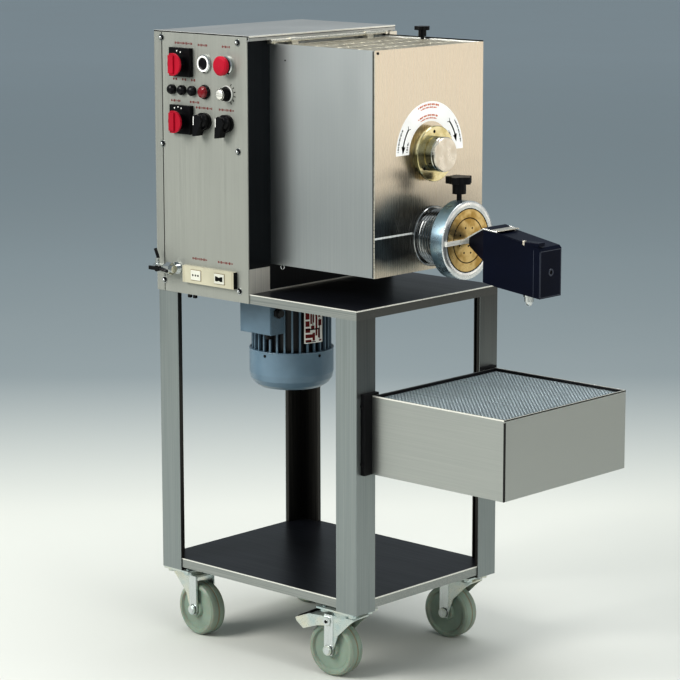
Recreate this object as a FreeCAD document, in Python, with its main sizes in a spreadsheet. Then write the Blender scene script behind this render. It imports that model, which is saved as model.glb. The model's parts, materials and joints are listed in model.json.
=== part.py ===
import FreeCAD, Part
import math
import os
import re
import Sketcher
from FreeCAD import Placement, Rotation, Vector

# Dough kneader and extruder on a wheeled trolley, in millimetres.
# +X is the way the dough comes out, -Y is the side with the control panel, +Z is up,
# and the origin is on the floor under the middle of the machine.

DIMENSIONS = {
    # trolley
    "trolley_length": 440, "trolley_width": 340, "front_face": 85, "near_side": -155,
    "leg_bottom": 115, "leg_flange": 43.5, "leg_lip": 7, "sheet": 2,
    "shelf_top": 135, "table_top": 601, "tray_band": 15,
    # casters
    "front_swivel_x": 47, "front_swivel_y": 29, "rear_swivel_x": 31, "rear_swivel_y": 40,
    "caster_trail": 22, "wheel_radius": 44.5, "wheel_width": 30, "tread_groove": 2,
    "caster_plate_length": 80, "caster_plate_width": 58, "plate_gauge": 3,
    "fork_gap": 34, "fork_gauge": 2.5, "fork_top": 106, "fork_head_radius": 22,
    "fork_reach": 28, "fork_end": 9, "axle_radius": 5, "axle_nut_radius": 8,
    "pedal_pin_radius": 2.5, "pedal_pin_x": 24, "pedal_pin_z": 92, "pedal_gauge": 2,
    "pedal_length": 64, "running_gap": 0.05, "bolt_radius": 4,
    # control cabinet
    "cabinet_length": 209, "cabinet_top": 1011, "cover_overhang": 5, "cover_hem": 8,
    "strip_width": 15, "groove_width": 2,
    "column_switch": -291, "column_start": -240, "column_stop": -190,
    "row_upper": 963, "row_middle": 918, "row_lower": 871,
    "switch_width": 47, "switch_height": 46, "switch_depth": 8,
    "handle_radius": 18, "handle_width": 11.5, "handle_depth": 6, "handle_disc": 3.5,
    "handle_flat": 7, "handle_drop": 2.5, "handle_shaft": 5, "handle_boss": 12.5,
    "handle_boss_radius": 14, "shaft_tail": 12,
    "bezel_radius": 14.6, "bezel_depth": 5, "start_radius": 9.5,
    "stop_radius": 15.4, "stop_reach": 19, "fuse_radius": 8, "fuse_pitch": 23.3, "fuse_depth": 10,
    "lamp_radius": 11.5, "lens_radius": 9.6, "lamp_depth": 10,
    "knob_radius": 10, "knob_depth": 18, "collar_depth": 5,
    "selector_radius": 13, "selector_length": 40, "selector_depth": 14,
    "outlet_length": 117, "outlet_height": 27.5, "outlet_depth": 8, "outlet_left": -289,
    "outlet_bottom": 607, "tap_left": -345, "tap_length": 48, "tap_height": 627,
    "tap_radius": 6.5, "tap_reach": 16, "tap_lever": 36, "tap_turn": 17,
    "tap_valve_reach": 9,
    # hopper, vat and lid
    "hopper_front": 78, "hopper_near": -105.5, "hopper_far": 152, "hopper_bottom": 645,
    "hopper_top": 997, "front_gauge": 2, "ledge": 9,
    "vat_radius": 98, "vat_gauge": 3, "vat_gap": 4, "tube_radius": 30,
    "mixer_y": 21, "mixer_z": 830, "auger_y": 29, "auger_z": 698,
    "shaft_radius": 12, "paddle_reach": 86, "paddle_radius": 6, "paddle_count": 6,
    "lid_gauge": 5, "lid_drop": 2, "lid_rim": 12, "lid_bars": 10, "lid_cross_bars": 3,
    "bar_width": 4, "hinge_radius": 3.5, "hinge_overrun": 9, "hinge_in": 10, "hinge_rise": 4,
    "knuckle_radius": 4.75,
    "hinge_setback": 14,
    "lid_knob_x": -43, "lid_knob_y": 143, "lid_knob_radius": 13,
    # extrusion head
    "barrel_radius": 42, "barrel_front": 141, "ring_radius": 62, "ring_back": 127,
    "ring_front": 153, "die_radius": 50, "die_shoulder": 52.5, "insert_radius": 35,
    "knob_lobes": 5, "ring_knob_x": 140, "ring_knob_radius": 21.5, "ring_knob_reach": 99, "stem_radius": 4,
    "brass_radius": 43.8, "brass_depth": 15, "brass_flange": 4.5, "brass_hub": 36,
    "grip_radius": 27.5, "grip_depth": 20,
    # cutter unit
    "cutter_back": 205, "cutter_front": 317, "cutter_half_width": 26, "nose_tip": 157,
    "nose_top": 726, "nose_bottom": 672, "blade_length": 57, "blade_width": 7, "blade_gauge": 4,
    "blade_gap": 0.5,
    # motor, gearbox and gears
    "motor_x": -198, "motor_y": -5, "cowl_radius": 69.5, "cowl_bottom": 424, "cowl_top": 489,
    "cowl_rounding": 26, "core_radius": 55, "jacket_radius": 57,
    "fin_radius": 66, "fin_width": 3, "fin_count": 32,
    "flange_bottom": 585, "rotor_radius": 39, "motor_shaft": 10, "cowl_gauge": 1.5,
    "gear_module": 4, "pinion_teeth": 24, "gear_teeth": 42, "gear_x": -177, "gear_width": 16,
    "gear_backlash": 0.8, "gearbox_half": 25, "gearbox_top": 745,
    # fan box
    "box_back": 93, "box_front": 357, "box_near": -127, "box_far": 172, "box_bottom": 341,
    "box_top": 466, "box_sheet": 1.5, "mesh_drop": 4, "mesh_gauge": 2, "bracket_width": 33,
    "impeller_radius": 100, "impeller_hub": 32, "impeller_bottom": 384, "blade_count": 7,
}

doc = FreeCAD.newDocument("dough_extruder")
sheet = doc.addObject("Spreadsheet::Sheet", "Dims")
for row, (alias, number) in enumerate(DIMENSIONS.items(), start=1):
    sheet.set(f"A{row}", alias)
    sheet.set(f"B{row}", str(number))
    sheet.setAlias(f"B{row}", alias)
doc.recompute()

TURN = {
    "z": Rotation(),
    "x": Rotation(Vector(0, 1, 0), 90),
    "y": Rotation(Vector(1, 0, 0), -90),
    "-y": Rotation(Vector(1, 0, 0), 90),
}
REAR = "front_face - trolley_length"
FAR = "near_side + trolley_width"
CABINET_FRONT = "front_face - trolley_length + cabinet_length"
CORNERS = {"front_near": (1, -1), "front_far": (1, 1), "rear_near": (-1, -1), "rear_far": (-1, 1)}
WHEEL_YAW = {"front_near": 185, "front_far": 185, "rear_near": -4, "rear_far": -6}
BRAKED = "front_near"
PEDAL_PIN = ("pedal_pin_x", "pedal_pin_z")
nodes = []


# ---------------------------------------------------------------- helpers

def bind(expression):
    """The expression with each word turned into a reference to the sheet."""
    return re.sub(r"[a-z_][a-z_]*", lambda word: "Dims." + word.group(0), str(expression))


def number(expression):
    """What an expression of sheet words comes to now."""
    return float(sheet.evalExpression(str(expression)))


def place(thing, at, axis="z", yaw=0):
    """Binds a thing's position to the sheet and turns its own Z to the axis."""
    thing.Placement = Placement(Vector(), Rotation(Vector(0, 0, 1), yaw) * TURN[axis])
    for letter, expression in zip("xyz", at):
        thing.setExpression(f"Placement.Base.{letter}", bind(expression))
    return thing


def block(name, low, high):
    """A box between two corners."""
    box = doc.addObject("Part::Box", name)
    for side, start, end in zip(("Length", "Width", "Height"), low, high):
        box.setExpression(side, bind(f"({end}) - ({start})"))
    return place(box, low)


def rod(name, at, radius, length, axis="z"):
    """A cylinder that starts at a point and runs along an axis."""
    cylinder = doc.addObject("Part::Cylinder", name)
    cylinder.setExpression("Radius", bind(radius))
    cylinder.setExpression("Height", bind(length))
    return place(cylinder, at, axis)


def hexagon(name, at, radius, length, axis="z"):
    """A hexagonal prism, such as a nut or a bolt's head, sized across its corners."""
    prism = doc.addObject("Part::Prism", name)
    prism.Polygon = 6
    prism.setExpression("Circumradius", bind(radius))
    prism.setExpression("Height", bind(length))
    return place(prism, at, axis)


def fuse(name, pieces):
    joined = doc.addObject("Part::MultiFuse", name)
    joined.Shapes = pieces
    joined.Refine = True
    return joined


def cut(name, base, tools):
    """The base without the tools."""
    result = doc.addObject("Part::Cut", name)
    result.Base = base
    result.Tool = tools[0] if len(tools) == 1 else fuse(name + "_tools", tools)
    return result


def group(name, pieces):
    """Separate solids that share one node."""
    compound = doc.addObject("Part::Compound", name)
    compound.Links = pieces
    return compound


def keep(thing):
    """Marks a thing as a sub-part that gets a file of its own."""
    nodes.append(thing)
    return thing


def new_body(name, at=("0", "0", "0"), axis="z", yaw=0):
    return place(doc.addObject("PartDesign::Body", name), at, axis, yaw)


def new_sketch(body, plane, offset="0"):
    """An empty sketch on one of the body's own origin planes, moved along its normal."""
    face = [f for f in body.Origin.OriginFeatures if f.Role == plane][0]
    sketch = body.newObject("Sketcher::SketchObject", f"{body.Name}_sketch")
    sketch.AttachmentSupport = [(face, "")]
    sketch.MapMode = "FlatFace"
    sketch.setExpression("AttachmentOffset.Base.z", bind(offset))
    return sketch


def pin_vertex(sketch, edge, vertex, point):
    """Ties a vertex of the sketch to two expressions."""
    for kind, expression in zip(("DistanceX", "DistanceY"), point):
        index = sketch.addConstraint(
            Sketcher.Constraint(kind, -1, 1, edge, vertex, number(expression)))
        sketch.setExpression(f"Constraints[{index}]", bind(expression))


def draw_outline(sketch, points):
    """A closed outline of straight edges whose corners follow the sheet."""
    first = sketch.GeometryCount
    places = [Vector(number(u), number(v), 0) for u, v in points]
    count = len(points)
    for index, start in enumerate(places):
        sketch.addGeometry(Part.LineSegment(start, places[(index + 1) % count]), False)
    for index in range(count):
        follower = first + (index + 1) % count
        sketch.addConstraint(Sketcher.Constraint("Coincident", first + index, 2, follower, 1))
    for index, point in enumerate(points):
        pin_vertex(sketch, first + index, 1, point)


def draw_circle(sketch, centre, radius):
    middle = Vector(number(centre[0]), number(centre[1]), 0)
    edge = sketch.addGeometry(Part.Circle(middle, Vector(0, 0, 1), number(radius)), False)
    pin_vertex(sketch, edge, 3, centre)
    index = sketch.addConstraint(Sketcher.Constraint("Radius", edge, number(radius)))
    sketch.setExpression(f"Constraints[{index}]", bind(radius))


def pad(body, sketch, length, midplane=False, reverse=False):
    feature = body.newObject("PartDesign::Pad", f"{body.Name}_pad")
    feature.Profile = sketch
    feature.setExpression("Length", bind(length))
    feature.Midplane = midplane
    feature.Reversed = reverse
    return feature


def pocket_through(body, sketch):
    feature = body.newObject("PartDesign::Pocket", f"{body.Name}_pocket")
    feature.Profile = sketch
    feature.Type = 1
    feature.Midplane = True
    return feature


def turned(name, profile, at, axis="z"):
    """A turned piece: its profile is a list of (radius, distance along the axis)."""
    body = new_body(name, at, axis)
    sketch = new_sketch(body, "XZ_Plane")
    draw_outline(sketch, profile)
    feature = body.newObject("PartDesign::Revolution", f"{name}_turn")
    feature.Profile = sketch
    feature.ReferenceAxis = (sketch, ["V_Axis"])
    feature.Angle = 360
    return body


def polar(body, features, count_alias, plane_sketch):
    """Repeats features around the normal of a sketch."""
    pattern = body.newObject("PartDesign::PolarPattern", f"{body.Name}_polar")
    pattern.Originals = features
    pattern.Axis = (plane_sketch, ["N_Axis"])
    pattern.Angle = 360
    pattern.setExpression("Occurrences", bind(count_alias))
    body.Tip = pattern
    return pattern


def star_knob(name, at, radius, disc, hub, stem, stem_radius):
    """A lobed hand knob on a hub and a threaded stem that points down."""
    body = new_body(name, at)
    disc_sketch = new_sketch(body, "XY_Plane")
    draw_circle(disc_sketch, ("0", "0"), f"{radius} * 0.78")
    pad(body, disc_sketch, disc)
    lobe_sketch = new_sketch(body, "XY_Plane")
    draw_circle(lobe_sketch, (f"{radius} * 0.72", "0"), f"{radius} * 0.28")
    lobe = pad(body, lobe_sketch, disc)
    polar(body, [lobe], "knob_lobes", lobe_sketch)
    hub_sketch = new_sketch(body, "XY_Plane")
    draw_circle(hub_sketch, ("0", "0"), f"{radius} * 0.5")
    pad(body, hub_sketch, hub, reverse=True)
    stem_sketch = new_sketch(body, "XY_Plane")
    draw_circle(stem_sketch, ("0", "0"), stem_radius)
    body.Tip = pad(body, stem_sketch, stem, reverse=True)
    return body


# ---------------------------------------------------------------- trolley

def corner_point(corner, inset_x, inset_y):
    """A point that far inside a corner of the trolley, as expressions."""
    side_x, side_y = CORNERS[corner]
    x = f"front_face - ({inset_x})" if side_x > 0 else f"{REAR} + ({inset_x})"
    y = f"near_side + ({inset_y})" if side_y < 0 else f"{FAR} - ({inset_y})"
    return x, y


def make_legs():
    """Four lipped angle posts, one at each corner."""
    quarter = {"rear_near": 0, "front_near": 90, "front_far": 180, "rear_far": 270}
    inner = "leg_flange - sheet"
    legs = []
    for corner, angle in quarter.items():
        x, y = corner_point(corner, "0", "0")
        leg = new_body(f"leg_{corner}", (x, y, "leg_bottom"), yaw=angle)
        sketch = new_sketch(leg, "XY_Plane")
        draw_outline(sketch, [
            ("0", "0"), ("leg_flange", "0"), ("leg_flange", "leg_lip"), (inner, "leg_lip"),
            (inner, "sheet"), ("sheet", "sheet"), ("sheet", inner), ("leg_lip", inner),
            ("leg_lip", "leg_flange"), ("0", "leg_flange")])
        pad(leg, sketch, "table_top - tray_band - leg_bottom")
        legs.append(leg)
    keep(group("legs", legs))


def make_table():
    """The upper tray, open below, with the hole for the motor's shaft."""
    top = block("table_outer", (REAR, "near_side", "table_top - tray_band"),
                ("front_face", FAR, "table_top"))
    hollow = block("table_hollow", (f"{REAR} + sheet", "near_side + sheet", "table_top - 60"),
                   ("front_face - sheet", f"{FAR} - sheet", "table_top - sheet"))
    hole = rod("table_hole", ("motor_x", "motor_y", "table_top - 60"), "motor_shaft + 4", "80")
    keep(cut("table_top_tray", top, [hollow, hole]))


def make_shelf():
    """The lower tray, notched around the four legs."""
    gap = "sheet + running_gap"
    body = new_body("shelf_outer", ("0", "0", "shelf_top - tray_band"))
    sketch = new_sketch(body, "XY_Plane")
    step = f"leg_flange + {gap}"
    rear, front = f"{REAR} + {gap}", f"front_face - {gap}"
    near, far = f"near_side + {gap}", f"{FAR} - {gap}"
    draw_outline(sketch, [(rear, near), (front, near), (front, far), (rear, far)])
    pad(body, sketch, "tray_band")
    hollow = block("shelf_hollow", (f"{rear} + sheet", f"{near} + sheet", "leg_bottom"),
                   (f"{front} - sheet", f"{far} - sheet", "shelf_top - sheet"))
    lips = []
    for corner, (side_x, side_y) in CORNERS.items():
        x, y = corner_point(corner, "0", "0")
        inner_x, inner_y = corner_point(corner, "leg_lip + 1", "leg_flange + 0.5")
        other_x, other_y = corner_point(corner, "leg_flange + 0.5", "leg_lip + 1")
        for tag, far_x, far_y in (("a", inner_x, inner_y), ("b", other_x, other_y)):
            low = (x if side_x < 0 else far_x, y if side_y < 0 else far_y, "leg_bottom")
            high = (far_x if side_x < 0 else x, far_y if side_y < 0 else y, "shelf_top + 5")
            lips.append(block(f"shelf_notch_{corner}_{tag}", low, high))
    keep(cut("shelf_tray", body, [hollow] + lips))


# ---------------------------------------------------------------- casters

def caster_end(corner):
    """Which end of the trolley a caster is at."""
    return "front" if CORNERS[corner][0] > 0 else "rear"


def caster_centre(corner):
    end = caster_end(corner)
    return corner_point(corner, f"{end}_swivel_x", f"{end}_swivel_y")


def make_caster_plates():
    """Top plates with their bolts, one set under each leg, the rear ones turned across."""
    pieces = []
    halves = {"front": ("caster_plate_length / 2", "caster_plate_width / 2"),
              "rear": ("caster_plate_width / 2", "caster_plate_length / 2")}
    for corner in CORNERS:
        x, y = caster_centre(corner)
        half_length, half_width = halves[caster_end(corner)]
        plate = block(f"plate_{corner}",
                      (f"{x} - {half_length}", f"{y} - {half_width}", "leg_bottom - plate_gauge"),
                      (f"{x} + {half_length}", f"{y} + {half_width}", "leg_bottom"))
        holes = []
        for index, (step_x, step_y) in enumerate(((-1, -1), (1, -1), (1, 1), (-1, 1))):
            bolt_x = f"{x} + ({step_x}) * ({half_length} - 10)"
            bolt_y = f"{y} + ({step_y}) * ({half_width} - 10)"
            holes.append(rod(f"hole_{corner}_{index}", (bolt_x, bolt_y, "leg_bottom - 10"),
                             "bolt_radius", "20"))
            shank = rod(f"shank_{corner}_{index}", (bolt_x, bolt_y, "leg_bottom - plate_gauge"),
                        "bolt_radius", "plate_gauge + 1")
            head = hexagon(f"head_{corner}_{index}",
                           (bolt_x, bolt_y, "leg_bottom - plate_gauge - 5"), "7", "5")
            pieces.append(fuse(f"bolt_{corner}_{index}", [shank, head]))
        pin = rod(f"kingpin_{corner}", (x, y, "fork_top - 8"), "axle_radius",
                  "leg_bottom - plate_gauge - fork_top + 8")
        pieces.append(fuse(f"caster_plate_{corner}",
                           [cut(f"drilled_{corner}", plate, holes), pin]))
    keep(group("caster_plates", pieces))


def make_fork(corner):
    """The swivelling fork of one caster with its wheel's axle as a second solid."""
    x, y = caster_centre(corner)
    name = f"fork_{corner}"
    body = new_body(f"{name}_sheet", (x, y, "0"), yaw=WHEEL_YAW[corner])
    half_gap = "fork_gap / 2"
    outer = "fork_gap / 2 + fork_gauge"
    top = "fork_top - plate_gauge"
    crown = new_sketch(body, "YZ_Plane")
    draw_outline(crown, [
        (f"-({outer})", "wheel_radius - fork_end"), (f"-({half_gap})", "wheel_radius - fork_end"),
        (f"-({half_gap})", f"{top} - fork_gauge"), (half_gap, f"{top} - fork_gauge"),
        (half_gap, "wheel_radius - fork_end"), (outer, "wheel_radius - fork_end"),
        (outer, top), (f"-({outer})", top)])
    pad(body, crown, "2 * (caster_trail + fork_end + 30)", midplane=True)
    back = "caster_trail + fork_end"
    waste = new_sketch(body, "XZ_Plane")
    draw_outline(waste, [
        ("-90", f"{top} + 2"), ("-90", "0"), ("caster_trail - 7", "0"),
        ("caster_trail - 7", "wheel_radius - fork_end * 0.7"),
        ("caster_trail - fork_end", "wheel_radius + 1"), ("caster_trail - 18", "wheel_radius + 26"),
        ("-fork_reach + 8", f"{top} - 9"), ("-fork_reach", f"{top} - 3"), ("-fork_reach", f"{top} + 2")])
    pocket_through(body, waste)
    rear_waste = new_sketch(body, "XZ_Plane")
    draw_outline(rear_waste, [
        (back, "wheel_radius - 3"), (back, f"{top} + 2"),
        (f"{back} + 60", f"{top} + 2"), (f"{back} + 60", "0"), ("caster_trail + 6", "0"),
        ("caster_trail + 6", "wheel_radius - fork_end * 0.8")])
    pocket_through(body, rear_waste)
    head = new_sketch(body, "XY_Plane", top)
    draw_circle(head, ("0", "0"), "fork_head_radius")
    pad(body, head, "leg_bottom - plate_gauge - running_gap - fork_top + plate_gauge")
    bore = new_sketch(body, "XY_Plane")
    draw_circle(bore, ("0", "0"), "axle_radius + running_gap")
    pocket_through(body, bore)
    holes = new_sketch(body, "XZ_Plane")
    draw_circle(holes, ("caster_trail", "wheel_radius"), "axle_radius")
    pieces = [body, make_axle(name, corner, x, y)]
    if corner == BRAKED:
        draw_circle(holes, PEDAL_PIN, "pedal_pin_radius")
        pin = new_body("pedal_pin", (x, y, "0"), yaw=WHEEL_YAW[corner])
        section = new_sketch(pin, "XZ_Plane")
        draw_circle(section, PEDAL_PIN, "pedal_pin_radius")
        pad(pin, section, "fork_gap + 2 * fork_gauge + 2 * pedal_gauge + 5", midplane=True)
        pieces.append(pin)
    body.Tip = pocket_through(body, holes)
    keep(group(name, pieces))


def make_axle(name, corner, x, y):
    """The wheel's bolt: a shank, a head and a nut in one solid, laid along the wheel's axis."""
    body = new_body(f"{name}_axle", (x, y, "0"), yaw=WHEEL_YAW[corner])
    outer = "fork_gap + 2 * fork_gauge"
    shank = new_sketch(body, "XZ_Plane")
    draw_circle(shank, ("caster_trail", "wheel_radius"), "axle_radius")
    pad(body, shank, f"{outer} + 12", midplane=True)
    for side, reverse in (("-1", False), ("1", True)):
        nut = new_sketch(body, "XZ_Plane", f"-({side}) * (fork_gap / 2 + fork_gauge)")
        draw_circle(nut, ("caster_trail", "wheel_radius"), "axle_nut_radius")
        body.Tip = pad(body, nut, "5", reverse=reverse)
    return body


def make_wheel(corner):
    """A plain-bearing wheel with a recessed web and a moulding groove round its tread."""
    x, y = caster_centre(corner)
    yaw = WHEEL_YAW[corner]
    half = "wheel_width / 2"
    rim = "wheel_radius - 8"
    groove = "wheel_radius - tread_groove"
    body = new_body(f"wheel_{corner}", ("0", "0", "0"))
    sketch = new_sketch(body, "XZ_Plane")
    draw_outline(sketch, [
        ("axle_radius + running_gap", f"-({half}) - 1"), ("13", f"-({half}) - 1"),
        ("15", f"-({half}) + 4"), (f"{rim} - 3", f"-({half}) + 4"), (rim, f"-({half})"),
        ("wheel_radius - 4", f"-({half})"), ("wheel_radius - 1", f"-({half}) + 2.5"),
        ("wheel_radius", f"-({half}) + 7"), ("wheel_radius", "-1.6"), (groove, "-0.8"),
        (groove, "0.8"), ("wheel_radius", "1.6"), ("wheel_radius", f"{half} - 7"),
        ("wheel_radius - 1", f"{half} - 2.5"), ("wheel_radius - 4", half), (rim, half),
        (f"{rim} - 3", f"{half} - 4"), ("15", f"{half} - 4"), ("13", f"{half} + 1"),
        ("axle_radius + running_gap", f"{half} + 1")])
    feature = body.newObject("PartDesign::Revolution", f"wheel_{corner}_turn")
    feature.Profile = sketch
    feature.ReferenceAxis = (sketch, ["V_Axis"])
    feature.Angle = 360
    turn = math.radians(yaw)
    place(body, (f"{x} + caster_trail * {math.cos(turn):.6f}",
                 f"{y} + caster_trail * {math.sin(turn):.6f}", "wheel_radius"), "y", yaw)
    keep(body)


def make_brake_pedal():
    """The channel-shaped foot pedal that straddles the fork of the front near caster."""
    x, y = caster_centre(BRAKED)
    pin_x, pin_z = PEDAL_PIN
    inner = "fork_gap + 2 * fork_gauge + 1"
    body = new_body("brake_pedal", (x, y, "0"), yaw=WHEEL_YAW[BRAKED])
    cheeks = new_sketch(body, "XZ_Plane")
    end = f"{pin_x} + pedal_length"
    draw_outline(cheeks, [
        (f"{pin_x} - 6", f"{pin_z} - 7"), (f"{pin_x} + 8", f"{pin_z} - 8"),
        (f"{end} - 44", f"{pin_z} - 10"), (f"{end} - 16", f"{pin_z} - 20"),
        (f"{end} - 2", f"{pin_z} - 9"), (end, f"{pin_z} - 4"), (f"{end} - 28", f"{pin_z} + 7"),
        (f"{pin_x} + 10", f"{pin_z} + 8"), (f"{pin_x} - 6", f"{pin_z} + 7")])
    pad(body, cheeks, f"{inner} + 2 * pedal_gauge", midplane=True)
    throat = new_sketch(body, "YZ_Plane")
    draw_outline(throat, [
        (f"-({inner}) / 2", f"{pin_z} - 30"), (f"({inner}) / 2", f"{pin_z} - 30"),
        (f"({inner}) / 2", f"{pin_z} - 6"), (f"-({inner}) / 2", f"{pin_z} - 6")])
    pocket_through(body, throat)
    hollow = new_sketch(body, "XZ_Plane")
    draw_outline(hollow, [
        (f"{pin_x} - 8", f"{pin_z} - 8"), (f"{end} - 12", f"{pin_z} - 8"),
        (f"{end} - 28", f"{pin_z} + 7 - pedal_gauge"), (f"{pin_x} + 12", f"{pin_z} + 8 - pedal_gauge"),
        (f"{pin_x} + 12", f"{pin_z} + 10"), (f"{pin_x} - 8", f"{pin_z} + 10")])
    space = body.newObject("PartDesign::Pocket", "brake_pedal_space")
    space.Profile = hollow
    space.Midplane = True
    space.setExpression("Length", bind(inner))
    bore = new_sketch(body, "XZ_Plane")
    draw_circle(bore, PEDAL_PIN, "pedal_pin_radius + running_gap")
    body.Tip = pocket_through(body, bore)
    keep(body)


# ---------------------------------------------------------------- control cabinet

def make_casing():
    """Rear wall, far wall and the narrow near strip, folded from one sheet."""
    low = "table_top - tray_band"
    high = "cabinet_top - sheet"
    rear_wall = block("casing_rear", (f"{REAR} - sheet", "near_side - sheet", low),
                      (REAR, f"{FAR} + sheet", high))
    far_wall = block("casing_far", (REAR, FAR, low), (f"{CABINET_FRONT} - sheet", f"{FAR} + sheet", high))
    strip = block("casing_strip", (REAR, "near_side - sheet", low),
                  (f"{REAR} + strip_width", "near_side", high))
    inner_lip = block("casing_lip", (f"{REAR} + strip_width - sheet", "near_side", "table_top"),
                      (f"{REAR} + strip_width", "near_side + 14", high))
    floor_lip = block("casing_floor_lip", (REAR, f"{FAR} - 14", "table_top"),
                      (f"{CABINET_FRONT} - sheet", FAR, "table_top + sheet"))
    keep(fuse("rear_casing", [rear_wall, far_wall, strip, inner_lip, floor_lip]))


def control_holes():
    """Where the controls pass through the panel: (x, z, radius)."""
    holes = [("column_start", "row_upper", "start_radius + running_gap"),
             ("column_stop", "row_upper", "start_radius + running_gap"),
             ("column_stop", "row_middle", "3 + running_gap"),
             ("column_start", "row_lower", "4 + running_gap"),
             ("column_stop", "row_lower", "4 + running_gap"),
             ("column_switch", "row_upper - handle_drop", "handle_shaft + running_gap"),
             ("column_switch", "row_lower - handle_drop", "handle_shaft + running_gap")]
    return holes


def make_control_panel():
    """The flat front plate that carries the controls, drilled for their shafts."""
    body = new_body("control_panel", ("0", "near_side", "0"))
    plate = new_sketch(body, "XZ_Plane")
    left = f"{REAR} + strip_width + groove_width"
    low = "table_top - tray_band"
    draw_outline(plate, [(left, low), (CABINET_FRONT, low),
                         (CABINET_FRONT, "cabinet_top - sheet"), (left, "cabinet_top - sheet")])
    pad(body, plate, "sheet")
    drilling = new_sketch(body, "XZ_Plane")
    for x, z, radius in control_holes():
        draw_circle(drilling, (x, z), radius)
    body.Tip = pocket_through(body, drilling)
    keep(body)


def make_inner_wall():
    """The wall that faces the hopper, with holes for the two shafts."""
    wall = block("inner_wall_plate", (f"{CABINET_FRONT} - sheet", "near_side", "table_top"),
                 (CABINET_FRONT, f"{FAR} + sheet", "cabinet_top - sheet"))
    foot = block("inner_wall_foot", (f"{CABINET_FRONT} - 20", "near_side", "table_top"),
                 (f"{CABINET_FRONT} - sheet", f"{FAR} - 14", "table_top + sheet"))
    tools = [
        rod("inner_wall_mixer_hole", (f"{CABINET_FRONT} - 30", "mixer_y", "mixer_z"),
            "shaft_radius + 6", "60", "x"),
        rod("inner_wall_auger_hole", (f"{CABINET_FRONT} - 30", "auger_y", "auger_z"),
            "shaft_radius + 6", "60", "x")]
    keep(cut("inner_wall", fuse("inner_wall_blank", [wall, foot]), tools))


def make_top_cover():
    """The lid of the cabinet: a sheet with a hemmed edge over the hopper side."""
    edge = f"{CABINET_FRONT} + cover_overhang"
    near, far = "near_side - sheet", f"{FAR} + sheet"
    plate = block("cover_plate", (f"{REAR} - sheet", near, "cabinet_top - sheet"),
                  (edge, far, "cabinet_top"))
    hem = block("cover_hem_down", (f"{edge} - sheet", near, "cabinet_top - cover_hem"),
                (edge, far, "cabinet_top - sheet"))
    fold = block("cover_hem_back", (f"{CABINET_FRONT} + 0.5", near, "cabinet_top - cover_hem"),
                 (f"{edge} - sheet", far, "cabinet_top - cover_hem + 1.5"))
    keep(fuse("top_cover", [plate, hem, fold]))


def make_panel_screws():
    """The screws that hold the panel, each in a cup washer, and the hopper's front screws."""
    pieces = []
    holes_x = {"rear": f"{REAR} + strip_width + groove_width / 2", "front": f"{CABINET_FRONT} - 20"}
    for side, x in holes_x.items():
        for level, z in enumerate(("table_top + 3", "row_lower - 43", "cabinet_top - 11")):
            name = f"panel_screw_{side}_{level}"
            washer = rod(f"{name}_washer", (x, "near_side - sheet - 1", z), "5.5", "1", "y")
            dome = doc.addObject("Part::Sphere", f"{name}_dome")
            dome.Radius = 4
            dome.Angle1 = 0
            place(dome, (x, "near_side - sheet - 1", z), "-y")
            pieces.append(fuse(name, [washer, dome]))
    return pieces


def make_switch_bases():
    """Black square bases under the two red handles, and collars under the other controls."""
    face = "near_side - sheet"
    pieces = []
    for row in ("row_upper", "row_lower"):
        base = block(f"switch_plate_{row}",
                     ("column_switch - switch_width / 2", f"{face} - switch_depth",
                      f"{row} - switch_height / 2"),
                     ("column_switch + switch_width / 2", face, f"{row} + switch_height / 2"))
        centre = f"{row} - handle_drop"
        boss = rod(f"switch_boss_{row}", ("column_switch", f"{face} - switch_depth - handle_boss", centre),
                   "handle_boss_radius", "handle_boss + switch_depth", "y")
        bore = rod(f"switch_bore_{row}", ("column_switch", f"{face} - 2 * handle_boss", centre),
                   "handle_shaft + running_gap", "3 * handle_boss", "y")
        pieces.append(cut(f"switch_base_{row}", fuse(f"switch_body_{row}", [base, boss]), [bore]))
    for column in ("column_start", "column_stop"):
        ring = rod(f"selector_ring_{column}", (column, f"{face} - collar_depth", "row_lower"),
                   "selector_radius + 1", "collar_depth", "y")
        bore = rod(f"selector_bore_{column}", (column, f"{face} - 20", "row_lower"),
                   "4 + running_gap", "40", "y")
        pieces.append(cut(f"selector_collar_{column}", ring, [bore]))
    keep(group("switch_bases", pieces))


def make_switch_handle(name, row):
    """A red rotary handle: a thin disc with one flat side, a grip bar and a shaft."""
    face = "near_side - sheet - switch_depth - handle_boss - running_gap"
    level = f"{row} - handle_drop"
    disc = rod(f"{name}_disc", ("column_switch", f"{face} - handle_disc", level),
               "handle_radius", "handle_disc", "y")
    flat = block(f"{name}_flat",
                 ("column_switch - 2 * handle_radius", f"{face} - 2 * handle_disc",
                  f"{row} - 2 * handle_radius"),
                 ("column_switch - handle_flat", f"{face} + handle_disc", f"{row} + 2 * handle_radius"))
    bar = block(f"{name}_bar",
                ("column_switch - handle_flat", f"{face} - handle_depth", f"{level} - handle_radius * 0.8"),
                ("column_switch - handle_flat + handle_width", f"{face} - handle_disc",
                 f"{level} + handle_radius * 0.8"))
    shaft = rod(f"{name}_shaft", ("column_switch", f"{face} - 1", level),
                "handle_shaft", "handle_boss + switch_depth + sheet + shaft_tail", "y")
    keep(fuse(name, [cut(f"{name}_head", disc, [flat]), bar, shaft]))


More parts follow.
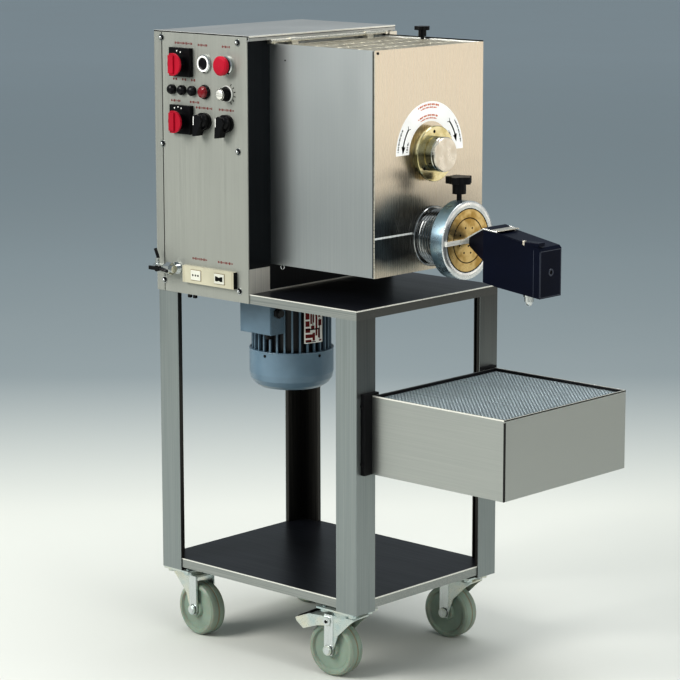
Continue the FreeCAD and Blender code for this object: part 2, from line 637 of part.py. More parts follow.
def make_buttons():
    """Chrome screws and bezels, the flush start button and the mushroom stop button."""
    face = "near_side - sheet"
    bezels = []
    for column in ("column_start", "column_stop"):
        bezels.append(turned(f"bezel_{column}", [
            ("start_radius + running_gap", "0"), ("bezel_radius", "0"),
            ("bezel_radius", "bezel_depth - 1.5"), ("bezel_radius - 1.5", "bezel_depth"),
            ("start_radius + running_gap", "bezel_depth")], (column, face, "row_upper"), "-y"))
    keep(group("chrome_fittings", make_panel_screws() + bezels))
    keep(turned("start_button", [
        ("0", "-sheet - 12"), ("start_radius", "-sheet - 12"), ("start_radius", "bezel_depth - 1.5"),
        ("start_radius - 1", "bezel_depth - 1"), ("0", "bezel_depth - 1")],
        ("column_start", face, "row_upper"), "-y"))
    keep(turned("stop_button", [
        ("0", "-sheet - 12"), ("start_radius", "-sheet - 12"),
        ("start_radius", "stop_reach - 8"), ("stop_radius", "stop_reach - 8"),
        ("stop_radius", "stop_reach - 3"), ("stop_radius - 3", "stop_reach - 0.5"),
        ("0", "stop_reach")], ("column_stop", face, "row_upper"), "-y"))


def make_fuse_holders():
    """Three black screw caps in a row, the lamp's black collar beside them."""
    face = "near_side - sheet"
    pieces = []
    for index in (-1, 0, 1):
        pieces.append(turned(f"fuse_cap_{index + 2}", [
            ("0", "0"), ("fuse_radius", "0"), ("fuse_radius", "fuse_depth * 0.55"),
            ("fuse_radius * 0.75", "fuse_depth * 0.85"), ("fuse_radius * 0.4", "fuse_depth"),
            ("0", "fuse_depth")],
            (f"column_switch + ({index}) * fuse_pitch", face, "row_middle"), "-y"))
    pieces.append(turned("lamp_collar", [
        ("lens_radius", "0"), ("lamp_radius", "0"), ("lamp_radius", "3"),
        ("lens_radius + 0.6", "5"), ("lens_radius", "5")],
        ("column_start", face, "row_middle"), "-y"))
    keep(group("fuse_holders", pieces))
    keep(turned("pilot_lamp", [
        ("0", "0"), ("lens_radius", "0"), ("lens_radius", "5.2"), ("lens_radius * 0.9", "lamp_depth - 1"),
        ("lens_radius * 0.6", "lamp_depth + 1"), ("0", "lamp_depth + 1.6")],
        ("column_start", face, "row_middle"), "-y"))


def make_speed_knob():
    """The variable-speed knob: a fluted grip with a flat cap."""
    keep(turned("speed_knob", [
        ("0", "-sheet - 8"), ("3", "-sheet - 8"), ("3", "0.8"), ("knob_radius + 2", "0.8"),
        ("knob_radius + 1.5", "3"), ("knob_radius", "3.5"), ("knob_radius - 0.6", "knob_depth - 1.5"),
        ("knob_radius - 2", "knob_depth"), ("0", "knob_depth")],
        ("column_stop", "near_side - sheet", "row_middle"), "-y"))


def make_selector(name, column):
    """A round selector knob with a lever wing that hangs to the lower left."""
    face = "near_side - sheet - collar_depth - running_gap"
    body = new_body(name, (column, face, "row_lower"))
    disc = new_sketch(body, "XZ_Plane")
    draw_circle(disc, ("0", "0"), "selector_radius")
    pad(body, disc, "selector_depth * 0.4")
    wing = new_sketch(body, "XZ_Plane")
    draw_outline(wing, [
        ("-9", "selector_radius - 4"), ("-3", "selector_radius - 1"), ("5", "10"), ("10", "2"),
        ("4", "-8"), ("-2", "6 - selector_length * 0.7"), ("-11", "5 - selector_length * 0.7")])
    pad(body, wing, "selector_depth")
    shaft = new_sketch(body, "XZ_Plane")
    draw_circle(shaft, ("0", "0"), "4")
    body.Tip = pad(body, shaft, "collar_depth + running_gap + sheet + 8", reverse=True)
    keep(body)


def make_outlets():
    """The cream trunking strip with two auxiliary outlets."""
    face = "near_side - sheet"
    right = "outlet_left + outlet_length"
    strip = block("outlet_case", ("outlet_left", f"{face} - outlet_depth", "outlet_bottom"),
                  (right, face, "outlet_bottom + outlet_height"))
    middle = "outlet_bottom + outlet_height / 2"
    tools = []
    for index, share in enumerate((0.27, 0.73)):
        x = f"outlet_left + outlet_length * {share}"
        tools.append(block(f"outlet_recess_{index}",
                           (f"{x} - 12", f"{face} - outlet_depth - 1", f"{middle} - 9"),
                           (f"{x} + 12", f"{face} - outlet_depth + 1.2", f"{middle} + 9")))
    keep(cut("outlet_strip", strip, tools))


def make_tap():
    """A small chromed cock on the panel, and its lever."""
    face = "near_side - sheet"
    y = f"{face} - tap_reach"
    foot = "tap_left + tap_length - 10"
    stem = rod("tap_stem", (foot, y, "tap_height"), "5.5", "tap_reach", "y")
    flange = rod("tap_flange", (foot, f"{face} - 3", "tap_height"), "10", "3", "y")
    pipe = rod("tap_pipe", ("tap_left", y, "tap_height"), "tap_radius", "tap_length - 3", "x")
    nut = hexagon("tap_nut", ("tap_left + tap_length - 20", y, "tap_height"), "10.5", "12", "x")
    valve = rod("tap_valve", ("tap_left + tap_turn", f"{y} - tap_valve_reach", "tap_height"),
                "7.5", "tap_valve_reach", "y")
    spout = rod("tap_spout", ("tap_left + 5", y, "tap_height"), "3.5", "15")
    keep(fuse("tap_body", [stem, flange, pipe, nut, valve, spout]))
    front = f"{y} - tap_valve_reach"
    hub = rod("tap_hub", ("tap_left + tap_turn", f"{front} - 5", "tap_height"), "5", "5", "y")
    lever = block("tap_arm", ("tap_left + tap_turn - tap_lever / 2", f"{front} - 5", "tap_height - 3"),
                  ("tap_left + tap_turn + 4", f"{front} - 2", "tap_height + 3"))
    keep(fuse("tap_lever", [hub, lever]))


# ---------------------------------------------------------------- hopper, vat and lid

def make_hopper():
    """The outer shell, open above and in front, with a ledge for the lid."""
    front = "hopper_front - front_gauge"
    outer = block("hopper_outer", (CABINET_FRONT, "hopper_near", "hopper_bottom"),
                  (front, "hopper_far", "hopper_top"))
    inner = block("hopper_hollow",
                  (f"{CABINET_FRONT} + sheet", "hopper_near + sheet", "hopper_bottom + sheet"),
                  (f"{front} + 10", "hopper_far - sheet", "hopper_top + 10"))
    shafts = [rod("hopper_mixer_hole", (f"{CABINET_FRONT} - 10", "mixer_y", "mixer_z"),
                  "shaft_radius + 6", "20", "x"),
              rod("hopper_auger_hole", (f"{CABINET_FRONT} - 10", "auger_y", "auger_z"),
                  "shaft_radius + 6", "20", "x")]
    shell = cut("hopper_box", outer, [inner] + shafts)
    ledge_top = "hopper_top - lid_drop - lid_gauge"
    ledges = []
    for tag, low, high in (("near", "hopper_near + sheet", "hopper_near + sheet + ledge"),
                           ("far", "hopper_far - sheet - ledge", "hopper_far - sheet")):
        ledges.append(block(f"lid_ledge_{tag}", (f"{CABINET_FRONT} + sheet", low, f"{ledge_top} - sheet"),
                            (f"{front} - 1", high, ledge_top)))
    screw_hole = rod("lid_ledge_hole", ("lid_knob_x", "lid_knob_y", "hopper_top - 40"),
                     "stem_radius - 1 + running_gap", "40")
    keep(cut("hopper_shell", fuse("hopper_blank", [shell] + ledges), [screw_hole]))


def make_front_plate():
    """The polished front, drilled for the barrel and the shutter's spindle."""
    body = new_body("front_plate", ("hopper_front - front_gauge", "0", "0"))
    plate = new_sketch(body, "YZ_Plane")
    draw_outline(plate, [("hopper_near", "hopper_bottom"), ("hopper_far", "hopper_bottom"),
                         ("hopper_far", "hopper_top"), ("hopper_near", "hopper_top")])
    pad(body, plate, "front_gauge")
    holes = new_sketch(body, "YZ_Plane")
    draw_circle(holes, ("auger_y", "auger_z"), "barrel_radius + running_gap")
    draw_circle(holes, ("mixer_y", "mixer_z"), "shaft_radius + running_gap")
    body.Tip = pocket_through(body, holes)
    keep(body)


def make_vat():
    """The U-shaped mixing trough with the auger's tube under it."""
    rear = f"{CABINET_FRONT} + sheet + vat_gap"
    front = "hopper_front - front_gauge - vat_gap / 2"
    top = "hopper_top - lid_drop - lid_gauge - sheet - 1"
    length = f"({front}) - ({rear})"
    outer_radius = "vat_radius + vat_gauge"
    outer = fuse("vat_outer", [
        rod("vat_outer_round", (rear, "mixer_y", "mixer_z"), outer_radius, length, "x"),
        block("vat_outer_box", (rear, f"mixer_y - ({outer_radius})", "mixer_z"),
              (front, f"mixer_y + {outer_radius}", top)),
        rod("vat_outer_tube", (rear, "auger_y", "auger_z"), "tube_radius + vat_gauge", length, "x")])
    inner_start = f"{rear} + vat_gauge"
    inner_length = f"({length}) - 2 * vat_gauge"
    inner = fuse("vat_inner", [
        rod("vat_inner_round", (inner_start, "mixer_y", "mixer_z"), "vat_radius", inner_length, "x"),
        block("vat_inner_box", (inner_start, "mixer_y - vat_radius", "mixer_z"),
              (f"{front} - vat_gauge", "mixer_y + vat_radius", f"{top} + 10")),
        rod("vat_inner_tube", (inner_start, "auger_y", "auger_z"), "tube_radius", f"{inner_length} + 40", "x"),
        block("vat_throat", (inner_start, "auger_y - 22", "auger_z"),
              (f"{front} - vat_gauge", "auger_y + 22", "auger_z + 50"))])
    bores = [rod("vat_mixer_bore", (f"{rear} - 5", "mixer_y", "mixer_z"), "shaft_radius + 5",
                 f"({length}) + 10", "x"),
             rod("vat_auger_bore", (f"{rear} - 5", "auger_y", "auger_z"), "shaft_radius + 5", "30", "x")]
    keep(cut("mixing_vat", outer, [inner] + bores))


def make_bushes():
    """Brass bushes that carry the two shafts in the vat's end walls."""
    rear = f"{CABINET_FRONT} + sheet + vat_gap"
    front = "hopper_front - front_gauge - vat_gap / 2"
    spots = {"mixer_rear": (rear, "mixer_y", "mixer_z"), "auger_rear": (rear, "auger_y", "auger_z"),
             "mixer_front": (f"{front} - vat_gauge", "mixer_y", "mixer_z")}
    pieces = []
    for name, at in spots.items():
        pieces.append(turned(f"bush_{name}", [
            ("shaft_radius + running_gap", "0"), ("shaft_radius + 5", "0"),
            ("shaft_radius + 5", "vat_gauge"), ("shaft_radius + running_gap", "vat_gauge")], at, "x"))
    keep(group("shaft_bushes", pieces))


def make_lid():
    """The hinged safety grate: a rim, long bars and cross bars."""
    rear = f"{CABINET_FRONT} + hinge_setback"
    front = "hopper_front - front_gauge - 2"
    near, far = "hopper_near + sheet + 1", "hopper_far - sheet - 1"
    low = "hopper_top - lid_drop - lid_gauge + 0.1"
    high = "hopper_top - lid_drop + 0.1"
    plate = block("lid_blank", (rear, near, low), (front, far, high))
    window = block("lid_window", (f"{rear} + lid_rim", f"{near} + lid_rim", f"{low} - 5"),
                   (f"{front} - lid_rim", f"{far} - lid_rim", f"{high} + 5"))
    pieces = [cut("lid_rim_frame", plate, [window])]
    pitch = f"(({far}) - ({near}) - 2 * lid_rim) / (lid_bars + 1)"
    for index in range(1, int(number("lid_bars")) + 1):
        y = f"{near} + lid_rim + {index} * {pitch}"
        pieces.append(block(f"lid_bar_{index}", (f"{rear} + 2", f"{y} - bar_width / 2", low),
                            (f"{front} - 2", f"{y} + bar_width / 2", high)))
    step = f"(({front}) - ({rear}) - 2 * lid_rim) / (lid_cross_bars + 1)"
    for index in range(1, int(number("lid_cross_bars")) + 1):
        x = f"{rear} + lid_rim + {index} * {step}"
        pieces.append(block(f"lid_cross_{index}", (f"{x} - bar_width / 2", f"{near} + 2", f"{low} + 1"),
                            (f"{x} + bar_width / 2", f"{far} - 2", f"{high} - 1")))
    hinge_x, hinge_z = f"{CABINET_FRONT} + hinge_in", "hopper_top + hinge_rise"
    for index, y in enumerate((f"{near} + 30", f"{far} - 44")):
        knuckle = rod(f"lid_knuckle_{index}", (hinge_x, y, hinge_z),
                      "knuckle_radius", "14", "y")
        tongue = block(f"lid_tongue_{index}", (hinge_x, y, low),
                       (f"{rear} + 4", f"{y} + 14", "hopper_top + hinge_rise"))
        pieces += [knuckle, tongue]
    bore = rod("lid_hinge_bore", (hinge_x, f"{near} - 20", hinge_z), "hinge_radius + running_gap",
               f"({far}) - ({near}) + 40", "y")
    screw_hole = rod("lid_screw_hole", ("lid_knob_x", "lid_knob_y", f"{low} - 5"),
                     "stem_radius - 1 + running_gap", "20")
    keep(cut("lid_grate", fuse("lid_blank_bars", pieces), [bore, screw_hole]))


def make_lid_hinge():
    """The hinge rod in its two lugs, and the small case of the lid's safety switch."""
    hinge_x, hinge_z = f"{CABINET_FRONT} + hinge_in", "hopper_top + hinge_rise"
    start = "hopper_near - hinge_overrun"
    pin = rod("hinge_pin", (hinge_x, start, hinge_z), "hinge_radius",
              "hopper_far - hopper_near + 2 * hinge_overrun", "y")
    lugs = [block(f"hinge_lug_{index}", (CABINET_FRONT, y, f"{hinge_z} - hinge_radius - 1"),
                  (f"{hinge_x} + hinge_radius + 1", f"{y} + 4", "cabinet_top - cover_hem - 0.5"))
            for index, y in enumerate(("hopper_near - 5", "hopper_far + 1"))]
    rod_piece = fuse("hinge_rod", [pin] + lugs)
    case = block("switch_case", (CABINET_FRONT, f"{FAR} - 22", "cabinet_top - cover_hem - 20"),
                 (f"{CABINET_FRONT} + 14", f"{FAR} - 4", "cabinet_top - cover_hem - 1"))
    keep(group("lid_hinge", [rod_piece, case]))


def make_lid_knob():
    keep(star_knob("lid_knob", ("lid_knob_x", "lid_knob_y", "hopper_top + 13"), "lid_knob_radius",
                   "6", "10", "13 + lid_drop + lid_gauge + 3", "stem_radius - 1"))


def make_mixer_shaft():
    """The kneading shaft with paddles set round it in turn."""
    start = f"{CABINET_FRONT} - 45"
    shaft = rod("mixer_axle", (start, "mixer_y", "mixer_z"), "shaft_radius",
                f"hopper_front - front_gauge - vat_gap / 2 - 1 - ({start})", "x")
    first, last = f"{CABINET_FRONT} + 40", "hopper_front - 35"
    count = int(number("paddle_count"))
    paddles = []
    for index in range(count):
        x = f"{first} + {index} * (({last}) - ({first})) / {count - 1}"
        spoke = rod(f"paddle_{index}", (x, "mixer_y", "mixer_z"), "paddle_radius", "paddle_reach")
        foot = block(f"paddle_foot_{index}", (f"{x} - 14", "mixer_y - 3", "mixer_z + paddle_reach - 18"),
                     (f"{x} + 14", "mixer_y + 3", "mixer_z + paddle_reach"))
        paddle = fuse(f"paddle_pair_{index}", [spoke, foot])
        angle = index * 360.0 * 2 / count
        centre = Vector(0, number("mixer_y"), number("mixer_z"))
        turn = Rotation(Vector(1, 0, 0), angle)
        paddle.Placement = Placement(centre - turn.multVec(centre), turn)
        paddles.append(paddle)
    keep(fuse("mixer_shaft", [shaft] + paddles))


def make_auger():
    """The extrusion screw: a shaft with a helical flight in the tube."""
    start = f"{CABINET_FRONT} - 90"
    screw_start = f"{CABINET_FRONT} + sheet + vat_gap + vat_gauge + 2"
    end = "barrel_front - 4"
    shaft_length = number(f"({end}) - ({start})")
    flight_length = number(f"({end}) - ({screw_start}) - 8")
    pitch = 36.0
    core = number("shaft_radius")
    outer = number("tube_radius") - 1
    shaft = Part.makeCylinder(core, shaft_length, Vector(0, 0, 0), Vector(0, 0, 1))
    helix = Part.makeHelix(pitch, flight_length, core)
    tooth = Part.makePolygon([Vector(core - 2, 0, -2.5), Vector(outer, 0, -1.5),
                              Vector(outer, 0, 1.5), Vector(core - 2, 0, 2.5),
                              Vector(core - 2, 0, -2.5)])
    flight = Part.Wire(helix.Edges).makePipeShell([tooth], True, True)
    flight.translate(Vector(0, 0, number(f"({screw_start}) - ({start}) + 4")))
    auger = doc.addObject("Part::Feature", "auger")
    auger.Shape = shaft.fuse(flight)
    auger.Placement = Placement(Vector(number(start), number("auger_y"), number("auger_z")), TURN["x"])
    keep(auger)


# ---------------------------------------------------------------- extrusion head

def make_barrel():
    """The threaded barrel that carries the die ring."""
    back = "hopper_front - front_gauge - vat_gap / 2"
    ribs = [("tube_radius", "0"), ("barrel_radius", "0")]
    crest, root = "barrel_radius", "barrel_radius - 2"
    for index in range(5):
        z = f"front_gauge + vat_gap / 2 + 4 + {index} * 8"
        ribs += [(crest, z), (root, f"{z} + 1.5"), (root, f"{z} + 3.5"), (crest, f"{z} + 5")]
    length = f"barrel_front - ({back})"
    ribs += [(crest, length), ("tube_radius", length)]
    keep(turned("barrel", ribs, (back, "auger_y", "auger_z"), "x"))


def make_die_ring():
    """The ring nut that holds the die against the barrel."""
    depth = "ring_front - ring_back"
    seat = "barrel_front - ring_back + running_gap"
    body = turned("die_ring_blank", [
        ("barrel_radius + running_gap", "0"), ("ring_radius - 1.5", "0"), ("ring_radius", "1.5"),
        ("ring_radius", f"{depth} - 1.5"), ("ring_radius - 1.5", depth),
        ("die_radius + running_gap", depth), ("die_radius + running_gap", f"{seat} + 5"),
        ("die_shoulder + running_gap", f"{seat} + 5"), ("die_shoulder + running_gap", seat),
        ("barrel_radius + running_gap", seat)],
        ("ring_back", "auger_y", "auger_z"), "x")
    hole = rod("ring_screw_hole", ("ring_knob_x - 6", "auger_y", "auger_z + barrel_radius - 4"),
               "stem_radius + running_gap", "40")
    keep(cut("die_ring", body, [hole]))


def make_die():
    """The bronze die: an outer disc with a shoulder and a drilled insert."""
    depth = "ring_front - barrel_front - running_gap"
    bush = "3 + running_gap"
    disc = turned("die_disc", [
        ("insert_radius", "0"), ("die_shoulder", "0"), ("die_shoulder", "5 - running_gap"),
        ("die_radius", "5 - running_gap"), ("die_radius", depth), ("insert_radius", depth)],
        ("barrel_front + running_gap", "auger_y", "auger_z"), "x")
    insert = turned("die_insert", [
        (bush, "0"), ("insert_radius", "0"), ("insert_radius", depth), (bush, depth)],
        ("barrel_front + running_gap", "auger_y", "auger_z"), "x")
    keep(group("extrusion_die", [disc, insert]))


def make_ring_knob():
    keep(star_knob("ring_knob", ("ring_knob_x - 6", "auger_y", "auger_z + ring_knob_reach - 11"),
                   "ring_knob_radius", "11", "16",
                   "ring_knob_reach - 11 - ring_radius + 9", "stem_radius"))


def make_shutter_knob():
    """The brass flange and its grip, which turn the shutter between vat and auger."""
    flange = turned("brass_collar", [
        ("0", "-front_gauge - 1"), ("shaft_radius", "-front_gauge - 1"), ("shaft_radius", "0.2"),
        ("brass_hub", "0.2"), ("brass_hub", "brass_depth - brass_flange"),
        ("brass_radius", "brass_depth - brass_flange"), ("brass_radius", "brass_depth - 1"),
        ("brass_radius - 1", "brass_depth"), ("0", "brass_depth")],
        ("hopper_front", "mixer_y", "mixer_z"), "x")
    keep(flange)
    keep(turned("grip_knob", [
        ("0", "0"), ("grip_radius - 1", "0"), ("grip_radius", "1"), ("grip_radius", "grip_depth - 7"),
        ("grip_radius - 1", "grip_depth - 6"), ("grip_radius - 1", "grip_depth - 5"),
        ("grip_radius", "grip_depth - 4"), ("grip_radius", "grip_depth - 1.5"),
        ("grip_radius - 1.5", "grip_depth"), ("0", "grip_depth")],
        ("hopper_front + brass_depth", "mixer_y", "mixer_z"), "x"))


# ---------------------------------------------------------------- cutter unit

def make_cutter():
    """The cutter's housing: a tapered box behind a pointed nose."""
    body = new_body("cutter_case", ("0", "auger_y", "0"))
    side = new_sketch(body, "XZ_Plane")
    back, front = "cutter_back", "cutter_front"
    draw_outline(side, [
        (back, "auger_z - 57"), (f"{back} + 30", "auger_z - 62"), (front, "auger_z - 71"),
        (front, "auger_z + 3"), (f"{front} - 4", "auger_z + 7"), (f"{back} + 24", "auger_z + 22"),
        (f"{back} + 3", "nose_top"), (back, "nose_top")])
    pad(body, side, "2 * cutter_half_width", midplane=True)
    base_half = "cutter_half_width - 3"
    nose = doc.addObject("Part::Loft", "cutter_nose")
    sections = []
    holder = new_body("nose_sections", ("0", "0", "0"))
    for tag, x, half, low, high in (
            ("base", back, base_half, "nose_bottom", "nose_top - 1"),
            ("tip", "nose_tip + 3", "6", "auger_z - 7", "auger_z + 5")):
        section = new_sketch(holder, "YZ_Plane", x)
        section.Label = f"nose_{tag}"
        draw_outline(section, [(f"auger_y - ({half})", low), (f"auger_y + {half}", low),
                               (f"auger_y + {half}", high), (f"auger_y - ({half})", high)])
        sections.append(section)
    nose.Sections = sections
    nose.Solid = True
    nose.Ruled = True
    bore = rod("cutter_bore", ("nose_tip - 5", "auger_y", "auger_z"), "3 + running_gap", "30", "x")
    keep(cut("cutter_housing", fuse("cutter_solid", [body, nose]), [bore]))


def make_blade():
    """The rotating blade that sweeps the die's face, on its spindle."""
    shaft = rod("blade_shaft", ("ring_front - 8", "auger_y", "auger_z"), "3",
                "nose_tip - ring_front + 30", "x")
    hub = rod("blade_hub", ("ring_front + blade_gap", "auger_y", "auger_z"), "5.5", "blade_gauge", "x")
    wing = block("blade_wing",
                 ("ring_front + blade_gap", "auger_y - blade_length", "auger_z - blade_width / 2"),
                 ("ring_front + blade_gap + blade_gauge", "auger_y", "auger_z + blade_width / 2"))
    keep(fuse("cutter_blade", [shaft, hub, wing]))


# ---------------------------------------------------------------- drive

def make_motor():
    """The motor's round housing under the table, and the finned jacket around it."""
    housing = rod("motor_housing", ("motor_x", "motor_y", "cowl_top"), "core_radius",
                  "flange_bottom - cowl_top")
    flange = rod("motor_flange", ("motor_x", "motor_y", "flange_bottom"), "fin_radius + 4",
                 "table_top - sheet - flange_bottom")
    shield = rod("motor_shield", ("motor_x", "motor_y", "cowl_top - 6"), "cowl_radius - cowl_gauge", "6")
    cavity = rod("motor_cavity", ("motor_x", "motor_y", "cowl_top + 10"), "rotor_radius + 1", "74")
    bore = rod("motor_bore", ("motor_x", "motor_y", "cowl_bottom"), "motor_shaft + running_gap", "250")
    solid = fuse("motor_solid", [housing, flange, shield])
    keep(cut("motor_body", solid, [cavity, bore]))
    length = "flange_bottom - cowl_top"
    jacket = new_body("motor_fins", ("motor_x", "motor_y", "cowl_top"))
    ring = new_sketch(jacket, "XY_Plane")
    draw_circle(ring, ("0", "0"), "jacket_radius")
    pad(jacket, ring, length)
    fin_sketch = new_sketch(jacket, "XY_Plane")
    draw_outline(fin_sketch, [("core_radius + 1", "-fin_width / 2"), ("fin_radius", "-fin_width / 2"),
                              ("fin_radius", "fin_width / 2"), ("core_radius + 1", "fin_width / 2")])
    polar(jacket, [pad(jacket, fin_sketch, length)], "fin_count", fin_sketch)
    bore_sketch = new_sketch(jacket, "XY_Plane")
    draw_circle(bore_sketch, ("0", "0"), "core_radius")
    jacket.Tip = pocket_through(jacket, bore_sketch)
    keep(jacket)


def make_cowl():
    """The fan cowl: a cup with rounded bottom edge and air slots."""
    inner = "cowl_radius - cowl_gauge"
    bend = "cowl_rounding"
    outline = [("0", "0")]
    lining = [("0", "cowl_gauge")]
    for degrees in (0, 22.5, 45, 67.5, 90):
        run = f"{math.sin(math.radians(degrees)):.5f}"
        rise = f"(1 - {math.cos(math.radians(degrees)):.5f})"
        outline.append((f"cowl_radius - {bend} + {bend} * {run}", f"{bend} * {rise}"))
        lining.append((f"{inner} - {bend} + {bend} * {run}", f"cowl_gauge + {bend} * {rise}"))
    top = "cowl_top - cowl_bottom"
    rim = [("cowl_radius", top), (inner, top)]
    body = turned("cowl_cup", outline + rim + lining[::-1], ("motor_x", "motor_y", "cowl_bottom"))
    slots = []
    for index in range(-4, 5):
        half = 38 - abs(index) * 5
        slots.append(block(f"cowl_slot_{index + 4}",
                           (f"motor_x - {half}", f"motor_y + ({index}) * 8 - 1.5", "cowl_bottom - 5"),
                           (f"motor_x + {half}", f"motor_y + ({index}) * 8 + 1.5", "cowl_bottom + 5")))
    keep(cut("fan_cowl", body, slots))


def make_terminal_box():
    """The motor's connection box, hollowed to sit on the fins, with its cable gland."""
    case = block("terminal_case", ("motor_x - 33", "motor_y - 86", "flange_bottom - 62"),
                 ("motor_x + 37", "motor_y - 40", "flange_bottom - 3"))
    seat = rod("terminal_seat", ("motor_x", "motor_y", "cowl_top"), "fin_radius + running_gap", "120")
    nut = hexagon("gland_nut", ("motor_x + 37", "motor_y - 72", "flange_bottom - 26"), "9", "6", "x")
    cap = rod("gland_cap", ("motor_x + 43", "motor_y - 72", "flange_bottom - 26"), "6", "5", "x")
    gland = fuse("cable_gland", [nut, cap])
    keep(group("terminal_box", [cut("terminal_shell", case, [seat]), gland]))


def make_rotor():
    """The motor's shaft with its rotor core and the cooling fan in the cowl."""
    base = "cowl_bottom + 14"
    keep(turned("motor_rotor", [
        ("0", "0"), ("14", "0"), ("14", "4"), ("56", "4"), ("56", "7"), ("14", "7"), ("14", "24"),
        ("motor_shaft", "24"), ("motor_shaft", "cowl_top + 14 - cowl_bottom - 14"),
        ("rotor_radius", "cowl_top + 14 - cowl_bottom - 14"),
        ("rotor_radius", "cowl_top + 80 - cowl_bottom - 14"),
        ("motor_shaft", "cowl_top + 80 - cowl_bottom - 14"),
        ("motor_shaft", "gearbox_top - 50 - cowl_bottom - 14"),
        ("0", "gearbox_top - 50 - cowl_bottom - 14")], ("motor_x", "motor_y", base)))


def make_gearbox():
    """The worm gearbox that stands on the table inside the cabinet."""
    half = "gearbox_half"
    case = block("gearbox_case", (f"motor_x - {half}", f"motor_y - {half}", "table_top + sheet"),
                 (f"motor_x + {half} - 6", f"auger_y + {half} + 8", "gearbox_top"))
    foot = block("gearbox_foot", (f"motor_x - {half} - 15", f"motor_y - {half}", "table_top"),
                 (f"motor_x + {half} - 6", f"auger_y + {half} + 8", "table_top + sheet"))
    vertical = rod("gearbox_motor_bore", ("motor_x", "motor_y", "table_top - 5"),
                   "motor_shaft + running_gap", "gearbox_top - table_top - 40")
    across = rod("gearbox_auger_bore", ("motor_x - 60", "auger_y", "auger_z"),
                 "shaft_radius + running_gap", "120", "x")
    keep(cut("gearbox", fuse("gearbox_blank", [case, foot]), [vertical, across]))


def involute_gear(teeth, module, backlash, width, bore):
    """A spur gear about its own Z: involute flanks of four points each."""
    pressure = math.radians(20)
    pitch_radius = module * teeth / 2
    base_radius = pitch_radius * math.cos(pressure)
    tip_radius = pitch_radius + 0.9 * module
    root_radius = pitch_radius - 1.2 * module
    half_tooth = math.pi / (2 * teeth) - backlash / (2 * pitch_radius)
    offset = math.tan(pressure) - pressure

    def flank_angle(radius):
        roll = math.acos(min(1.0, base_radius / radius))
        return half_tooth + offset - (math.tan(roll) - roll)

    steps = [root_radius]
    start = max(base_radius, root_radius + 0.3)
    steps += [start + (tip_radius - start) * share for share in (0.0, 0.35, 0.7, 1.0)]
    points = []
    for tooth in range(teeth):
        centre = 2 * math.pi * tooth / teeth
        rising = [(radius, centre - flank_angle(max(radius, start))) for radius in steps]
        falling = [(radius, centre + flank_angle(max(radius, start))) for radius in reversed(steps)]
        for radius, angle in rising + falling:
            points.append(Vector(radius * math.cos(angle), radius * math.sin(angle), 0))
    points.append(points[0])
    blank = Part.Face(Part.Wire(Part.makePolygon(points).Edges)).extrude(Vector(0, 0, width))
    return blank.cut(Part.makeCylinder(bore, width * 2, Vector(0, 0, -width / 2)))


def make_gears():
    """The pair of spur gears that drive the mixer from the auger's shaft, in mesh."""
    module = number("gear_module")
    rise = number("mixer_z - auger_z")
    across = number("mixer_y - auger_y")
    line = math.degrees(math.atan2(rise, across))
    spots = {"auger_pinion": ("pinion_teeth", "auger_y", "auger_z", line),
             "mixer_gear": ("gear_teeth", "mixer_y", "mixer_z", line + 180)}
    for name, (teeth_word, y, z, towards) in spots.items():
        teeth = int(number(teeth_word))
        shape = involute_gear(teeth, module, number("gear_backlash"), number("gear_width"),
                              number("shaft_radius"))
        half_pitch = 180.0 / teeth if name == "mixer_gear" else 0
        gear = doc.addObject("Part::Feature", name)
        gear.Shape = shape
        upright = Rotation(Vector(1, 0, 0), towards + half_pitch)
        gear.Placement = Placement(
            Vector(number("gear_x"), number(y), number(z)), upright * gear_to_x())
        keep(gear)


def gear_to_x():
    """Turns a gear's own Z to +X and its own X to +Y."""
    return Rotation(Vector(0, 1, 0), Vector(0, 0, 1), Vector(1, 0, 0), "ZXY")


# ---------------------------------------------------------------- fan box

def make_fan_box():
    """The drying fan's case, open above, with its floor grille."""
    outer = block("box_outer", ("box_back", "box_near", "box_bottom"), ("box_front", "box_far", "box_top"))
    hollow = block("box_hollow",
                   ("box_back + box_sheet", "box_near + box_sheet", "box_bottom + box_sheet"),
                   ("box_front - box_sheet", "box_far - box_sheet", "box_top + 10"))
    middle_x, middle_y = "(box_back + box_front) / 2", "(box_near + box_far) / 2"
    opening = rod("box_intake", (middle_x, middle_y, "box_bottom - 10"), "impeller_radius + 8", "20")
    shell = cut("box_shell", outer, [hollow, opening])
    spider = [block(f"box_spider_{tag}", low, high) for tag, low, high in (
        ("x", ("box_back + box_sheet", f"{middle_y} - 9", "box_bottom"),
         ("box_front - box_sheet", f"{middle_y} + 9", "box_bottom + 3")),
        ("y", (f"{middle_x} - 9", "box_near + box_sheet", "box_bottom"),
         (f"{middle_x} + 9", "box_far - box_sheet", "box_bottom + 3")))]
    post = rod("box_fan_post", (middle_x, middle_y, "box_bottom"), "5", "impeller_bottom - box_bottom + 20")
    stator = rod("box_stator", (middle_x, middle_y, "box_bottom"), "impeller_hub - 2",
                 "impeller_bottom - box_bottom - 2")
    keep(fuse("fan_box_shell", [shell, post, stator] + spider))


def make_mesh():
    """The woven cover of the fan box in its edge frame."""
    low, high = "box_top - mesh_drop - mesh_gauge", "box_top - mesh_drop"
    keep(block("fan_box_mesh", ("box_back + box_sheet", "box_near + box_sheet", low),
               ("box_front - box_sheet", "box_far - box_sheet", high)))


def make_box_brackets():
    """Black channels that hang the fan box on the two front legs."""
    pieces = []
    for tag, low, high in (
            ("near", "near_side + 10", "near_side + 10 + bracket_width"),
            ("far", f"{FAR} - 10 - bracket_width", f"{FAR} - 10")):
        pieces.append(block(f"bracket_{tag}", ("front_face", low, "box_bottom"),
                            ("box_back", high, "box_top + 4")))
    keep(group("fan_box_brackets", pieces))


